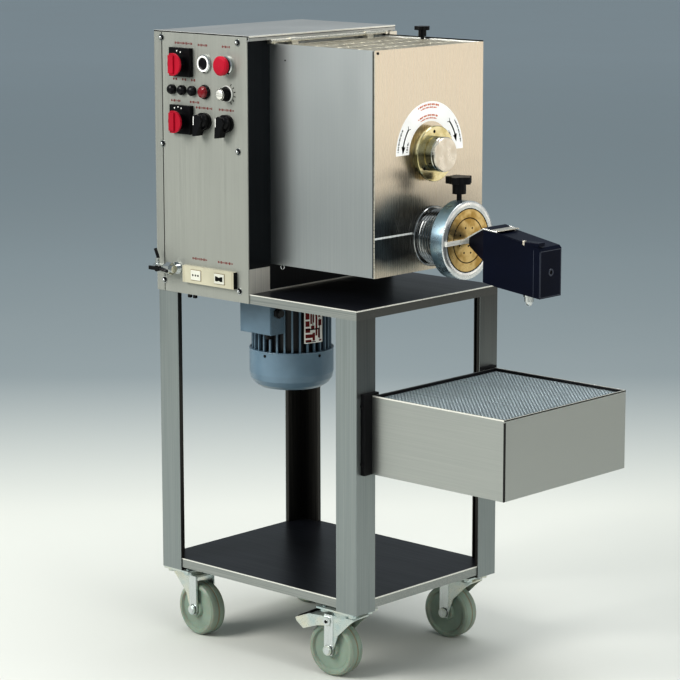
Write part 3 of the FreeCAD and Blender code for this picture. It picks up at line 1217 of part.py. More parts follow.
def make_impeller():
    """The axial fan wheel: a hub cup and pitched blades."""
    middle_x, middle_y = "(box_back + box_front) / 2", "(box_near + box_far) / 2"
    hub = turned("impeller_cup", [
        ("5 + running_gap", "0"), ("impeller_hub", "0"), ("impeller_hub", "22"),
        ("impeller_hub - 4", "26"), ("5 + running_gap", "26")], (middle_x, middle_y, "impeller_bottom"))
    blades = []
    count = int(number("blade_count"))
    centre = Vector(number(middle_x), number(middle_y), number("impeller_bottom") + 13)
    for index in range(count):
        blade = doc.addObject("Part::Box", f"impeller_blade_{index}")
        blade.setExpression("Length", bind("impeller_radius - impeller_hub + 4"))
        blade.Width = 44
        blade.Height = 2.5
        pitch = Rotation(Vector(1, 0, 0), 22)
        spin = Rotation(Vector(0, 0, 1), index * 360.0 / count)
        turn = spin * pitch
        corner = Vector(number("impeller_hub") - 4, -22, -1.25)
        blade.Placement = Placement(centre + spin.multVec(
            Vector(corner.x, 0, 0)) + turn.multVec(Vector(0, corner.y, corner.z)), turn)
        blades.append(blade)
    keep(fuse("impeller", [hub] + blades))


# ---------------------------------------------------------------- build

make_legs()
make_table()
make_shelf()
make_caster_plates()
for corner_name in CORNERS:
    make_fork(corner_name)
    make_wheel(corner_name)
make_brake_pedal()
make_casing()
make_control_panel()
make_inner_wall()
make_top_cover()
make_switch_bases()
make_switch_handle("main_switch_handle", "row_upper")
make_switch_handle("mode_switch_handle", "row_lower")
make_buttons()
make_fuse_holders()
make_speed_knob()
make_selector("selector_left", "column_start")
make_selector("selector_right", "column_stop")
make_outlets()
make_tap()
make_hopper()
make_front_plate()
make_vat()
make_bushes()
make_lid()
make_lid_hinge()
make_lid_knob()
make_mixer_shaft()
make_auger()
make_barrel()
make_die_ring()
make_die()
make_ring_knob()
make_shutter_knob()
make_cutter()
make_blade()
make_motor()
make_cowl()
make_terminal_box()
make_rotor()
make_gearbox()
make_gears()
make_fan_box()
make_mesh()
make_box_brackets()
make_impeller()

doc.recompute()
faults = [thing.Label for thing in doc.Objects if "Invalid" in thing.State or "Error" in thing.State]
if faults:
    raise SystemExit(f"failed features: {faults}")
for node in nodes:
    if node.Shape.isNull() or not node.Shape.isValid() or not node.Shape.Solids:
        raise SystemExit(f"{node.Label} has no valid solid")
os.makedirs("parts", exist_ok=True)
for node in nodes:
    node.Shape.exportStep(f"parts/{node.Label}.step")
print(f"{len(nodes)} sub-parts written")
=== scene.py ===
import json
import math

import bmesh
import bpy
from mathutils import Matrix, Vector


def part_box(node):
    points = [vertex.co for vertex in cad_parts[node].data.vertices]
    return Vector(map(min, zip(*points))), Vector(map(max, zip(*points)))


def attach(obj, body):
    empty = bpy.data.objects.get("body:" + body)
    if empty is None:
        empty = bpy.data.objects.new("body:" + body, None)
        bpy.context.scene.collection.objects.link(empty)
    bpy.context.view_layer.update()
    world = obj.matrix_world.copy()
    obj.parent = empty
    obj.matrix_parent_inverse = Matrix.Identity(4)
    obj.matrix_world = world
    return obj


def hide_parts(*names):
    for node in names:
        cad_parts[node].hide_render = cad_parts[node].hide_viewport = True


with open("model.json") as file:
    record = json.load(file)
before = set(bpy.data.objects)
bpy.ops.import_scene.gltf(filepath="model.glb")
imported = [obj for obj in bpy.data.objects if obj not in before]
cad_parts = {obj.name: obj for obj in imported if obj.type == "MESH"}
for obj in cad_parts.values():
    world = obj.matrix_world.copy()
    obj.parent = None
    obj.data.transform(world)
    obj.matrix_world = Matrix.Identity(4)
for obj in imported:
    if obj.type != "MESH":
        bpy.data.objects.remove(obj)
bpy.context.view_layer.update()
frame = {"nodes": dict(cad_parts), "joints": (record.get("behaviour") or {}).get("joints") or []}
nodes = frame["nodes"]

MM = 0.001
ROOT = "trolley"
NOISE_SHIFT = (0.01352, 0.00713, 0.01139)      # keeps flat faces off the noise lattice
PROUD = 0.12             # mm that a printed mark or a thin plate stands off its face


# ---------------------------------------------------------------- materials

class Shader:
    """Builds one node material around a Principled shader."""

    def __init__(self, name, metallic=0.0, roughness=0.5, **inputs):
        self.material = bpy.data.materials.new(name)
        self.material.use_nodes = True
        self.tree = self.material.node_tree
        self.tree.nodes.clear()
        self.surface = self.add("ShaderNodeBsdfPrincipled")
        output = self.add("ShaderNodeOutputMaterial")
        self.link(self.surface.outputs[0], output.inputs[0])
        self.set(Metallic=metallic, Roughness=roughness, **inputs)

    def add(self, kind, **settings):
        node = self.tree.nodes.new(kind)
        for key, value in settings.items():
            setattr(node, key, value)
        return node

    def link(self, start, end):
        self.tree.links.new(start, end)

    def set(self, **inputs):
        """Sets or links inputs of the surface; an underscore stands for a space."""
        for key, value in inputs.items():
            socket = self.surface.inputs[key.replace("_", " ")]
            if isinstance(value, bpy.types.NodeSocket):
                self.link(value, socket)
            else:
                socket.default_value = (*value, 1) if isinstance(value, tuple) else value

    def position(self):
        return self.add("ShaderNodeTexCoord").outputs["Object"]

    def scaled(self, scale, centre=(0, 0, 0)):
        """Object coordinates from a centre, stretched along each axis."""
        mapping = self.add("ShaderNodeMapping")
        mapping.inputs["Location"].default_value = [-c * s for c, s in zip(centre, scale)]
        mapping.inputs["Scale"].default_value = scale
        self.link(self.position(), mapping.inputs["Vector"])
        return mapping.outputs[0]

    def noise(self, scale, detail=3.0, roughness=0.55):
        texture = self.add("ShaderNodeTexNoise")
        texture.inputs["Scale"].default_value = 1.0
        texture.inputs["Detail"].default_value = detail
        texture.inputs["Roughness"].default_value = roughness
        self.link(self.scaled(scale, NOISE_SHIFT), texture.inputs["Vector"])
        return texture.outputs["Fac"]

    def rings(self, pitch, centre, axis):
        """Fine turned rings around an axis."""
        texture = self.add("ShaderNodeTexWave", wave_type="RINGS", rings_direction=axis)
        texture.inputs["Scale"].default_value = 1.0 / pitch / 20.0
        texture.inputs["Distortion"].default_value = 0.6
        texture.inputs["Detail"].default_value = 2.0
        self.link(self.scaled((1, 1, 1), centre), texture.inputs["Vector"])
        return texture.outputs["Fac"]

    def ramp(self, factor, stops):
        """A colour or grey ramp over (position, value) stops."""
        ramp = self.add("ShaderNodeValToRGB")
        ramp.color_ramp.interpolation = "EASE" if len(stops) == 2 else "LINEAR"
        elements = ramp.color_ramp.elements
        while len(elements) < len(stops):
            elements.new(0.5)
        for element, (place, value) in zip(elements, stops):
            element.position = place
            element.color = (*value, 1) if isinstance(value, tuple) else (value, value, value, 1)
        self.link(factor, ramp.inputs[0])
        return ramp.outputs[0]

    def blend(self, factor, first, second):
        mix = self.add("ShaderNodeMix", data_type="RGBA")
        for socket, value in zip((mix.inputs[0], mix.inputs[6], mix.inputs[7]), (factor, first, second)):
            if isinstance(value, bpy.types.NodeSocket):
                self.link(value, socket)
            else:
                socket.default_value = (*value, 1) if isinstance(value, tuple) else value
        return mix.outputs[2]

    def maths(self, operation, first, second=0.0):
        node = self.add("ShaderNodeMath", operation=operation)
        for socket, value in zip(node.inputs, (first, second)):
            if isinstance(value, bpy.types.NodeSocket):
                self.link(value, socket)
            else:
                socket.default_value = value
        return node.outputs[0]

    def axis_value(self, source, axis):
        split = self.add("ShaderNodeSeparateXYZ")
        self.link(source, split.inputs[0])
        return split.outputs[axis]

    def normal(self, axis):
        return self.axis_value(self.add("ShaderNodeNewGeometry").outputs["Normal"], axis)

    def below(self, axis, limit):
        """A mask of what lies below a limit along an axis."""
        return self.maths("LESS_THAN", self.axis_value(self.position(), axis), limit)

    def above(self, axis, limit):
        """A mask of what lies beyond a limit along an axis."""
        return self.maths("GREATER_THAN", self.axis_value(self.position(), axis), limit)

    def share(self, axis, start, length):
        """How far a point lies along an axis, as a share of a length."""
        offset = self.maths("SUBTRACT", self.axis_value(self.position(), axis), start)
        return self.times(offset, 1 / length)

    def times(self, first, second):
        return self.maths("MULTIPLY", first, second)

    def bump(self, height, distance, strength=1.0):
        node = self.add("ShaderNodeBump")
        node.inputs["Strength"].default_value = strength
        node.inputs["Distance"].default_value = distance
        self.link(height, node.inputs["Height"])
        self.link(node.outputs[0], self.surface.inputs["Normal"])


def shade(colour, factor):
    return tuple(min(1.0, channel * factor) for channel in colour)


def brushed(name, colour, roughness, grain, depth=0.5, metallic=0.92, patch=0.12):
    """Brushed sheet: fine streaks along the grain axis over slow cloudy patches."""
    shader = Shader(name, metallic=metallic)
    scale = [900.0, 900.0, 900.0]
    scale["XYZ".index(grain)] = 6.0
    streaks = shader.noise(scale, detail=4.0)
    clouds = shader.noise((5.0, 5.0, 5.0), detail=2.0)
    streak_tone = shader.ramp(streaks, [(0.3, shade(colour, 1 - depth * 0.16)),
                                        (0.7, shade(colour, 1 + depth * 0.12))])
    cloud_tone = shader.ramp(clouds, [(0.3, shade(colour, 1 - patch)),
                                      (0.7, shade(colour, 1 + patch * 0.7))])
    shader.set(Base_Color=shader.blend(0.5, streak_tone, cloud_tone))
    shader.set(Roughness=shader.ramp(streaks, [(0.25, roughness * 0.85), (0.75, roughness * 1.2)]))
    shader.bump(streaks, 0.00002, depth)
    return shader


def grained(name, colour, roughness, grain_size=0.0006, depth=0.3, **inputs):
    """Moulded plastic or paint with a fine even grain and slight tone changes."""
    shader = Shader(name, **inputs)
    scale = 1.0 / grain_size
    grain = shader.noise((scale, scale, scale), detail=2.0)
    clouds = shader.noise((14.0, 14.0, 14.0), detail=3.0)
    shader.set(Base_Color=shader.ramp(clouds, [(0.3, shade(colour, 0.86)), (0.72, shade(colour, 1.12))]))
    shader.set(Roughness=shader.ramp(grain, [(0.3, roughness * 0.85), (0.7, min(1.0, roughness * 1.15))]))
    shader.bump(grain, grain_size * 0.12, depth)
    return shader


def turned_metal(name, colour, roughness, centre, axis, pitch=0.0008, tarnish=None, painted_side_reflection=None):
    """Metal turned on a lathe: rings, light tarnish and, given a side colour, a painted dark reflection on
    its side.
    """
    shader = Shader(name, metallic=0.95)
    rings = shader.rings(pitch, centre, axis)
    blotches = shader.noise((60.0, 60.0, 60.0), detail=4.0)
    worn = tarnish or shade(colour, 0.8)
    base = shader.ramp(blotches, [(0.35, worn), (0.62, colour)])
    # Painted reflection: side faces from just above level down toward the bottom take the dark side colour in
    # place of a dark reflection.
    if painted_side_reflection:
        level = shader.maths("ADD", shader.times(shader.normal(2), 0.5), 0.5)
        lower = shader.ramp(level, [(0.04, 0.0), (0.14, 0.9), (0.50, 0.9), (0.62, 0.0), (1.0, 0.0)])
        sideways = shader.maths("LESS_THAN", shader.maths("ABSOLUTE", shader.normal(0)), 0.5)
        base = shader.blend(shader.times(lower, sideways), base, painted_side_reflection)
    shader.set(Base_Color=base)
    shader.set(Roughness=shader.ramp(blotches, [(0.3, roughness * 1.3), (0.7, roughness * 0.85)]))
    shader.bump(rings, 0.00003, 0.35)
    return shader


def span(node_name):
    """Both corners of a CAD node's box, in millimetres."""
    low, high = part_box(node_name)
    return low / MM, high / MM


def middle(node_name):
    """The centre of a CAD node's box, in millimetres."""
    low, high = span(node_name)
    return (low + high) / 2


ENAMEL = (0.13, 0.20, 0.26)
auger_axis = middle("barrel") * MM
mixer_axis = middle("grip_knob") * MM

panel_steel = brushed("panel_steel", (0.335, 0.345, 0.315), 0.42, "Z", depth=0.5, metallic=0.45, patch=0.06)
casing_steel = brushed("casing_steel", (0.36, 0.37, 0.34), 0.36, "Z", metallic=0.6, patch=0.06)
cover_steel = brushed("cover_steel", (0.50, 0.51, 0.50), 0.34, "Y")
lid_steel = brushed("lid_steel", (0.74, 0.71, 0.62), 0.28, "X")
vat_steel = brushed("vat_steel", (0.52, 0.52, 0.50), 0.32, "X")
machined = brushed("machined_steel", (0.50, 0.50, 0.50), 0.22, "Y")
blade_steel = brushed("blade_steel", (0.80, 0.80, 0.78), 0.16, "Y")
chrome = brushed("chrome", (0.62, 0.64, 0.64), 0.10, "Z", depth=0.15, metallic=1.0)

black_plastic = grained("black_plastic", (0.003, 0.003, 0.004), 0.34, Specular_IOR_Level=0.22)
cutter_black = grained("cutter_black", (0.0016, 0.0034, 0.0125), 0.36, grain_size=0.0009,
                       Specular_IOR_Level=0.10)
red_plastic = grained("red_plastic", (0.39, 0.006, 0.026), 0.38, Specular_IOR_Level=0.25)
red_lens = grained("red_lens", (0.17, 0.003, 0.008), 0.12, Coat_Weight=0.6)
cream_plastic = grained("cream_plastic", (0.50, 0.475, 0.36), 0.40)
white_plastic = grained("white_plastic", (0.62, 0.63, 0.60), 0.42)
nylon = grained("nylon", (0.235, 0.295, 0.24), 0.36, grain_size=0.0012, Subsurface_Weight=0.2,
                Specular_IOR_Level=0.35)
nylon_dark = grained("nylon_parting", (0.24, 0.19, 0.12), 0.6)
# A lighter black for the cutter's edges and boss, standing for painted highlights along them.
edge_glint_black = grained("edge_glint_black", (0.035, 0.042, 0.062), 0.35, Specular_IOR_Level=0.4)
rubber = grained("rubber", (0.008, 0.008, 0.008), 0.7, Specular_IOR_Level=0.2)
black_paint = grained("black_paint", (0.004, 0.004, 0.005), 0.45, Specular_IOR_Level=0.2)
gasket = grained("gasket", (0.002, 0.002, 0.003), 0.6, Specular_IOR_Level=0.1)
print_red = grained("print_red", (0.15, 0.013, 0.012), 0.6, Specular_IOR_Level=0.2)
decal_red = grained("decal_red", (0.60, 0.13, 0.055), 0.6)
print_black = grained("print_black", (0.004, 0.004, 0.004), 0.6, Specular_IOR_Level=0.1)
label_white = grained("label_white", (0.88, 0.87, 0.82), 0.45)
# A faint emission makes the white decal glow, as painted light.
glowing_decal_white = grained("glowing_decal_white", (0.93, 0.93, 0.91), 0.5, Emission_Color=(1.0, 0.99, 0.96),
                      Emission_Strength=0.16)
module_white = grained("module_white", (0.66, 0.66, 0.58), 0.45)
dot_white = grained("dot_white", (0.90, 0.90, 0.86), 0.5)
enamel = grained("motor_enamel", ENAMEL, 0.36, grain_size=0.0016, depth=0.5)
iron = grained("cast_iron", (0.20, 0.20, 0.20), 0.5, grain_size=0.0015, metallic=0.7)

brass = turned_metal("brass", (0.72, 0.66, 0.42), 0.16, mixer_axis, "X", tarnish=(0.60, 0.52, 0.27),
                     painted_side_reflection=(0.10, 0.10, 0.05))
grip_steel = turned_metal("grip_steel", (0.66, 0.65, 0.60), 0.13, mixer_axis, "X",
                          tarnish=(0.60, 0.58, 0.50), painted_side_reflection=(0.05, 0.05, 0.045))
brass_face = turned_metal("grip_end", (0.80, 0.75, 0.66), 0.28, mixer_axis, "X", tarnish=(0.76, 0.68, 0.57))
bronze = turned_metal("bronze_die", (0.78, 0.58, 0.27), 0.32, auger_axis, "X", tarnish=(0.52, 0.33, 0.10))
barrel_metal = turned_metal("barrel_steel", (0.40, 0.41, 0.41), 0.12, auger_axis, "X")


def make_wall():
    """A wall painted dark as shade, with painted light making its top flange, its hem and a patch at its
    outer foot pale.
    """
    low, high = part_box("inner_wall")
    shader = Shader("wall", metallic=0.6)
    streaks = shader.noise((900.0, 900.0, 6.0), detail=4.0)
    # Painted shade: the wall's tone is drawn near-black; the pale tone below is painted light.
    wall_shade_tone = shader.ramp(streaks, [(0.3, (0.005, 0.007, 0.009)), (0.7, (0.009, 0.011, 0.014))])
    wall_light_tone = shader.ramp(streaks, [(0.3, (0.50, 0.50, 0.47)), (0.7, (0.64, 0.63, 0.58))])
    # Painted light on a patch at the outer foot, on the hem and on the inward part of the top flange.
    patch = shader.times(shader.below(1, low.y + 47 * MM), shader.below(2, low.z + 40 * MM))
    patch = shader.maths("MAXIMUM", patch, shader.below(2, low.z + 2.2 * MM))
    inward = shader.above(1, low.y + 75 * MM)
    flange = shader.above(2, high.z - 14 * MM)
    wall_light_mask = shader.maths("MAXIMUM", patch, shader.times(flange, inward))
    shader.set(Base_Color=shader.blend(wall_light_mask, wall_shade_tone, wall_light_tone))
    shader.set(Roughness=shader.ramp(streaks, [(0.3, 0.32), (0.7, 0.42)]))
    shader.bump(streaks, 0.00002, 0.4)
    return shader


def make_front():
    """Polished front sheet: warm at the top, with a painted dark reflection pooled by the barrel."""
    low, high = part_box("front_plate")
    head = auger_axis
    shader = Shader("front_sheet", metallic=0.92)
    streaks = shader.noise((900.0, 900.0, 6.0), detail=4.0)
    warm = shader.ramp(streaks, [(0.3, (0.705, 0.625, 0.51)), (0.7, (0.755, 0.675, 0.56))])
    rise = shader.share(2, low.z, high.z - low.z)
    across = shader.share(1, low.y, high.y - low.y)
    sway = shader.noise((9.0, 9.0, 9.0), detail=2.0)
    level = shader.maths("ADD", rise, shader.times(shader.maths("SUBTRACT", sway, 0.5), 0.10))
    # Painted reflection: a dark soft pool low on the sheet by the barrel, weaker toward the far side.
    painted_reflection_pool = shader.ramp(level, [(0.03, 0.15), (0.09, 0.95), (0.23, 0.92), (0.31, 0.62), (0.37, 0.28),
                               (0.41, 0.10), (0.44, 0.17), (0.49, 0.05), (0.70, 0.0)])
    side = shader.ramp(across, [(0.0, 1.0), (0.45, 0.9), (0.8, 0.45), (1.0, 0.25)])
    dark_reflection_mask = shader.times(painted_reflection_pool, side)
    strip = shader.times(shader.above(2, head.z + 7.4 * MM), shader.below(2, head.z + 10.6 * MM))
    line = shader.times(strip, shader.maths("LESS_THAN", across, 0.42))
    tone = shader.blend(dark_reflection_mask, warm, (0.048, 0.062, 0.072))
    shader.set(Base_Color=shader.blend(line, tone, (0.90, 0.92, 0.90)))
    shader.set(Metallic=shader.maths("SUBTRACT", 0.92, shader.times(line, 0.7)))
    shader.set(Roughness=shader.ramp(streaks, [(0.3, 0.25), (0.7, 0.30)]))
    shader.bump(streaks, 0.00001, 0.2)
    return shader


def make_ring():
    """Turned aluminium with painted light and shade: a pale lit face and a bluer, darker shaded rim."""
    shader = Shader("ring_aluminium", metallic=0.9)
    rings = shader.rings(0.0009, auger_axis, "X")
    blotches = shader.noise((50.0, 50.0, 50.0), detail=3.0)
    # Painted light and shade: faces looking ahead are pale, the rim around them darker and bluer.
    rim = shader.ramp(blotches, [(0.35, (0.23, 0.34, 0.41)), (0.65, (0.34, 0.45, 0.52))])
    face = shader.ramp(blotches, [(0.35, (0.74, 0.76, 0.76)), (0.65, (0.88, 0.89, 0.88))])
    ahead = shader.maths("GREATER_THAN", shader.normal(0), 0.6)
    shader.set(Base_Color=shader.blend(ahead, rim, face))
    shader.set(Roughness=shader.ramp(blotches, [(0.3, 0.34), (0.7, 0.22)]))
    shader.bump(rings, 0.00003, 0.35)
    return shader


def make_hopper():
    """Polished hopper sheet with painted light that turns it paler toward its top."""
    low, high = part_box("hopper_shell")
    shader = Shader("hopper", metallic=0.95)
    streaks = shader.noise((900.0, 900.0, 6.0), detail=2.0)
    clouds = shader.noise((7.0, 7.0, 3.0), detail=2.0)
    tone = shader.ramp(streaks, [(0.3, (0.42, 0.445, 0.455)), (0.7, (0.455, 0.48, 0.485))])
    # Painted light: the sheet blends toward near-white higher up.
    upper = shader.ramp(shader.share(2, low.z, high.z - low.z), [(0.1, 0.0), (0.9, 0.55)])
    shader.set(Base_Color=shader.blend(upper, tone, (0.92, 0.94, 0.93)))
    shader.set(Roughness=shader.ramp(clouds, [(0.2, 0.28), (0.8, 0.34)]))
    shader.bump(streaks, 0.00001, 0.06)
    return shader


def make_box_steel():
    """Brushed box sheet with the dark line of the corner seam."""
    low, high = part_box("fan_box_shell")
    shader = Shader("box_sheet", metallic=0.9)
    streaks = shader.noise((6.0, 900.0, 900.0), detail=4.0)
    fine = shader.noise((20.0, 2500.0, 2500.0), detail=2.0)
    tone = shader.ramp(streaks, [(0.3, (0.385, 0.40, 0.385)), (0.7, (0.42, 0.435, 0.415))])
    corner = shader.times(shader.above(0, high.x - 1.6 * MM), shader.below(1, low.y + 3.6 * MM))
    seam = shader.times(corner, shader.below(2, high.z - 4 * MM))
    shader.set(Base_Color=shader.blend(seam, tone, (0.03, 0.03, 0.03)))
    shader.set(Roughness=shader.ramp(fine, [(0.3, 0.30), (0.7, 0.42)]))
    shader.bump(streaks, 0.00003, 0.6)
    return shader


def make_box_enamel():
    """Motor enamel with the black rubber gland at the outer end."""
    outer_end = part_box("terminal_box")[1].x
    shader = Shader("box_enamel", roughness=0.4)
    grain = shader.noise((600.0, 600.0, 600.0))
    coat = shader.ramp(grain, [(0.3, shade(ENAMEL, 0.9)), (0.7, shade(ENAMEL, 1.08))])
    gland = shader.above(0, outer_end - 10.8 * MM)
    shader.set(Base_Color=shader.blend(gland, coat, (0.012, 0.012, 0.013)))
    shader.bump(grain, 0.0002, 0.4)
    return shader


def make_zinc():
    """Bright zinc plating with its blue-green and yellow cast."""
    shader = Shader("zinc_plate", metallic=0.85)
    cast = shader.noise((28.0, 28.0, 28.0), detail=4.0)
    fine = shader.noise((500.0, 500.0, 500.0))
    shader.set(Base_Color=shader.ramp(cast, [(0.3, (0.44, 0.55, 0.56)), (0.5, (0.60, 0.64, 0.60)),
                                             (0.7, (0.68, 0.67, 0.55))]))
    shader.set(Roughness=shader.ramp(fine, [(0.3, 0.26), (0.7, 0.40)]))
    shader.bump(fine, 0.00004, 0.4)
    return shader


def shaded_front(shader):
    """A mask of the front faces above the drying box, which face its dark inside."""
    box_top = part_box("fan_box_shell")[1].z
    ahead = shader.maths("GREATER_THAN", shader.normal(0), 0.7)
    rise = shader.share(2, box_top - 4 * MM, 140 * MM)
    fade = shader.ramp(rise, [(0.0, 0.0), (0.03, 0.62), (0.5, 0.80), (1.0, 1.0)])
    return shader.times(ahead, fade)


def make_tray():
    """A stainless tray whose top is painted near-black as a dark reflection, with painted shade on its band
    above the box.
    """
    shader = Shader("tray", metallic=0.8)
    streaks = shader.noise((6.0, 700.0, 700.0), detail=4.0)
    clouds = shader.noise((6.0, 6.0, 6.0))
    rim = shader.ramp(streaks, [(0.3, (0.27, 0.29, 0.28)), (0.7, (0.36, 0.375, 0.36))])
    # Painted reflection: the upward faces are drawn near-black in place of the reflection of dark
    # surroundings.
    painted_dark_top = shader.ramp(clouds, [(0.3, (0.005, 0.006, 0.008)), (0.75, (0.010, 0.011, 0.015))])
    upward = shader.maths("GREATER_THAN", shader.normal(2), 0.7)
    # Painted shade on the front band where it faces the dark inside of the drying box.
    band = shader.blend(shader.times(shaded_front(shader), 0.8), rim, (0.035, 0.032, 0.030))
    shader.set(Base_Color=shader.blend(upward, band, painted_dark_top))
    shader.set(Metallic=shader.times(shader.maths("SUBTRACT", 1.0, upward), 0.8))
    shader.set(Specular_IOR_Level=shader.maths("SUBTRACT", 0.5, shader.times(upward, 0.3)))
    shader.set(Roughness=shader.ramp(streaks, [(0.3, 0.30), (0.7, 0.38)]))
    shader.bump(streaks, 0.00002, 0.4)
    return shader


def make_leg_steel():
    """Brushed posts painted dark with shade on the inside of the angle and on their front faces above the
    box.
    """
    low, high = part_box("legs")
    centre = (low + high) / 2
    half = (high - low) / 2
    shader = Shader("leg_steel", metallic=0.88)
    streaks = shader.noise((700.0, 700.0, 5.0), detail=4.0)
    outside = shader.ramp(streaks, [(0.3, (0.262, 0.292, 0.292)), (0.7, (0.31, 0.34, 0.338))])
    # Painted shade: the inside of the angle and the front faces above the box take a near-black tone.
    inside_shade_tone = shader.ramp(streaks, [(0.3, (0.034, 0.034, 0.033)), (0.7, (0.065, 0.062, 0.056))])
    place = shader.scaled((1, 1, 1), centre)
    masks = []
    for axis in (0, 1):
        reach = shader.maths("ABSOLUTE", shader.axis_value(place, axis))
        masks.append(shader.maths("LESS_THAN", reach, half[axis] - 1.0 * MM))
    inside_shade_mask = shader.times(*masks)
    shaded = shader.times(shaded_front(shader), 0.86)
    shader.set(Base_Color=shader.blend(shader.maths("MAXIMUM", inside_shade_mask, shaded), outside, inside_shade_tone))
    shader.set(Roughness=shader.ramp(streaks, [(0.3, 0.34), (0.7, 0.44)]))
    shader.bump(streaks, 0.00002, 0.5)
    return shader


def make_fin_enamel():
    """Motor enamel with painted shade, dark in the deep gaps between the fins."""
    axis = middle("fan_cowl") * MM
    shader = Shader("fin_enamel", roughness=0.42)
    place = shader.scaled((1, 1, 0), axis)
    length = shader.add("ShaderNodeVectorMath", operation="LENGTH")
    shader.link(place, length.inputs[0])
    radius = length.outputs["Value"]
    depth = shader.times(shader.maths("SUBTRACT", radius, 58 * MM), 1 / (8 * MM))
    grain = shader.noise((600.0, 600.0, 600.0))
    # Painted shade: near-black deep in the gaps, rising to the enamel colour at the fin tips.
    shader.set(Base_Color=shader.ramp(depth, [(0.1, (0.004, 0.005, 0.008)), (0.95, shade(ENAMEL, 0.95))]))
    shader.bump(grain, 0.0002, 0.4)
    return shader


zinc = make_zinc()
zinc_bright = brushed("zinc_bright", (0.66, 0.70, 0.70), 0.28, "Z", depth=0.2)
rim_steel = brushed("rim_steel", (0.86, 0.85, 0.78), 0.3, "X", metallic=0.6)
blade_bright = brushed("blade_bright", (0.94, 0.93, 0.87), 0.3, "Y", metallic=0.3)
wire_steel = brushed("wire_steel", (0.60, 0.67, 0.70), 0.30, "X", depth=0.2, metallic=0.7)
tray_steel = make_tray()
wall_steel = make_wall()
hopper_steel = make_hopper()
front_steel = make_front()
ring_metal = make_ring()
box_steel = make_box_steel()
box_enamel = make_box_enamel()
leg_steel = make_leg_steel()
fin_enamel = make_fin_enamel()


# ---------------------------------------------------------------- mesh helpers

def finish_piece(piece, shader, body, smooth=False, bevel=0.0):
    piece.data.materials.append(shader.material)
    for polygon in piece.data.polygons:
        polygon.use_smooth = smooth
    if bevel:
        edge = piece.modifiers.new("edge", "BEVEL")
        edge.width = bevel * MM
        edge.segments = 2
        edge.limit_method = "ANGLE"
    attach(piece, body)
    return piece


def from_bmesh(name, mesh_data):
    bmesh.ops.recalc_face_normals(mesh_data, faces=mesh_data.faces)
    mesh = bpy.data.meshes.new(name)
    mesh_data.to_mesh(mesh)
    mesh_data.free()
    piece = bpy.data.objects.new(name, mesh)
    bpy.context.scene.collection.objects.link(piece)
    return piece


def add_box(mesh_data, low, high):
    corners = [mesh_data.verts.new(Vector((x, y, z)) * MM) for x in (low[0], high[0])
               for y in (low[1], high[1]) for z in (low[2], high[2])]
    for face in ((0, 1, 3, 2), (4, 6, 7, 5), (0, 4, 5, 1), (2, 3, 7, 6), (0, 2, 6, 4), (1, 5, 7, 3)):
        mesh_data.faces.new([corners[index] for index in face])


def boxes(name, spans, shader, body, bevel=0.0):
    """One piece made of boxes between pairs of corners."""
    mesh_data = bmesh.new()
    for low, high in spans:
        add_box(mesh_data, low, high)
    return finish_piece(from_bmesh(name, mesh_data), shader, body, bevel=bevel)


def facing(axis):
    """Turns +Z to a direction."""
    return Vector(axis).to_track_quat("Z", "Y").to_matrix().to_4x4()


def lathe(name, profile, origin, axis, shader, body, steps=48, smooth=True):
    """A turned piece: (radius, distance along the axis) points from an origin."""
    mesh_data = bmesh.new()
    turn = Matrix.Translation(origin) @ facing(axis)
    loops = []
    for radius, along in profile:
        if radius < 1e-7:
            loops.append([mesh_data.verts.new(turn @ Vector((0, 0, along)) * MM)])
            continue
        angles = [2 * math.pi * step / steps for step in range(steps)]
        loops.append([mesh_data.verts.new(turn @ Vector((radius * math.cos(angle), radius * math.sin(angle),
                                                         along)) * MM)
                      for angle in angles])
    for first, second in zip(loops, loops[1:]):
        for step in range(steps):
            after = (step + 1) % steps
            corners = [first[step % len(first)], first[after % len(first)],
                       second[after % len(second)], second[step % len(second)]]
            unique = list(dict.fromkeys(corners))
            if len(unique) > 2:
                mesh_data.faces.new(unique)
    piece = finish_piece(from_bmesh(name, mesh_data), shader, body, smooth=smooth)
    if smooth:
        auto_smooth(piece)
    return piece


def auto_smooth(piece, angle=35):
    """Marks the edges sharper than an angle so that smooth shading stops there."""
    mesh_data = bmesh.new()
    mesh_data.from_mesh(piece.data)
    for edge in mesh_data.edges:
        if len(edge.link_faces) == 2 and edge.calc_face_angle() > math.radians(angle):
            edge.smooth = False
    mesh_data.to_mesh(piece.data)
    mesh_data.free()


def discs(name, spots, radius, height, axis, shader, body, steps=20):
    """Short cylinders at several spots, all standing along one axis."""
    mesh_data = bmesh.new()
    for spot in spots:
        turn = Matrix.Scale(MM, 4) @ Matrix.Translation(spot) @ facing(axis)
        bmesh.ops.create_cone(mesh_data, cap_ends=True, segments=steps, radius1=radius, radius2=radius,
                              depth=height, matrix=turn @ Matrix.Translation((0, 0, height / 2)))
    return finish_piece(from_bmesh(name, mesh_data), shader, body)


def tube(name, points, radius, shader, body, cyclic=False):
    """A round bar along a smooth line."""
    curve = bpy.data.curves.new(name, "CURVE")
    curve.dimensions = "3D"
    curve.bevel_depth = radius * MM
    curve.bevel_resolution = 4
    curve.use_fill_caps = True
    spline = curve.splines.new("NURBS")
    spline.points.add(len(points) - 1)
    for point, place in zip(spline.points, points):
        point.co = (*(Vector(place) * MM), 1)
    spline.order_u = min(4, len(points))
    spline.use_endpoint_u = not cyclic
    spline.use_cyclic_u = cyclic
    holder = bpy.data.objects.new(name + "_line", curve)
    bpy.context.scene.collection.objects.link(holder)
    mesh = bpy.data.meshes.new_from_object(holder.evaluated_get(bpy.context.evaluated_depsgraph_get()))
    bpy.data.objects.remove(holder)
    piece = bpy.data.objects.new(name, mesh)
    piece.data.materials.clear()
    bpy.context.scene.collection.objects.link(piece)
    return finish_piece(piece, shader, body, smooth=True)


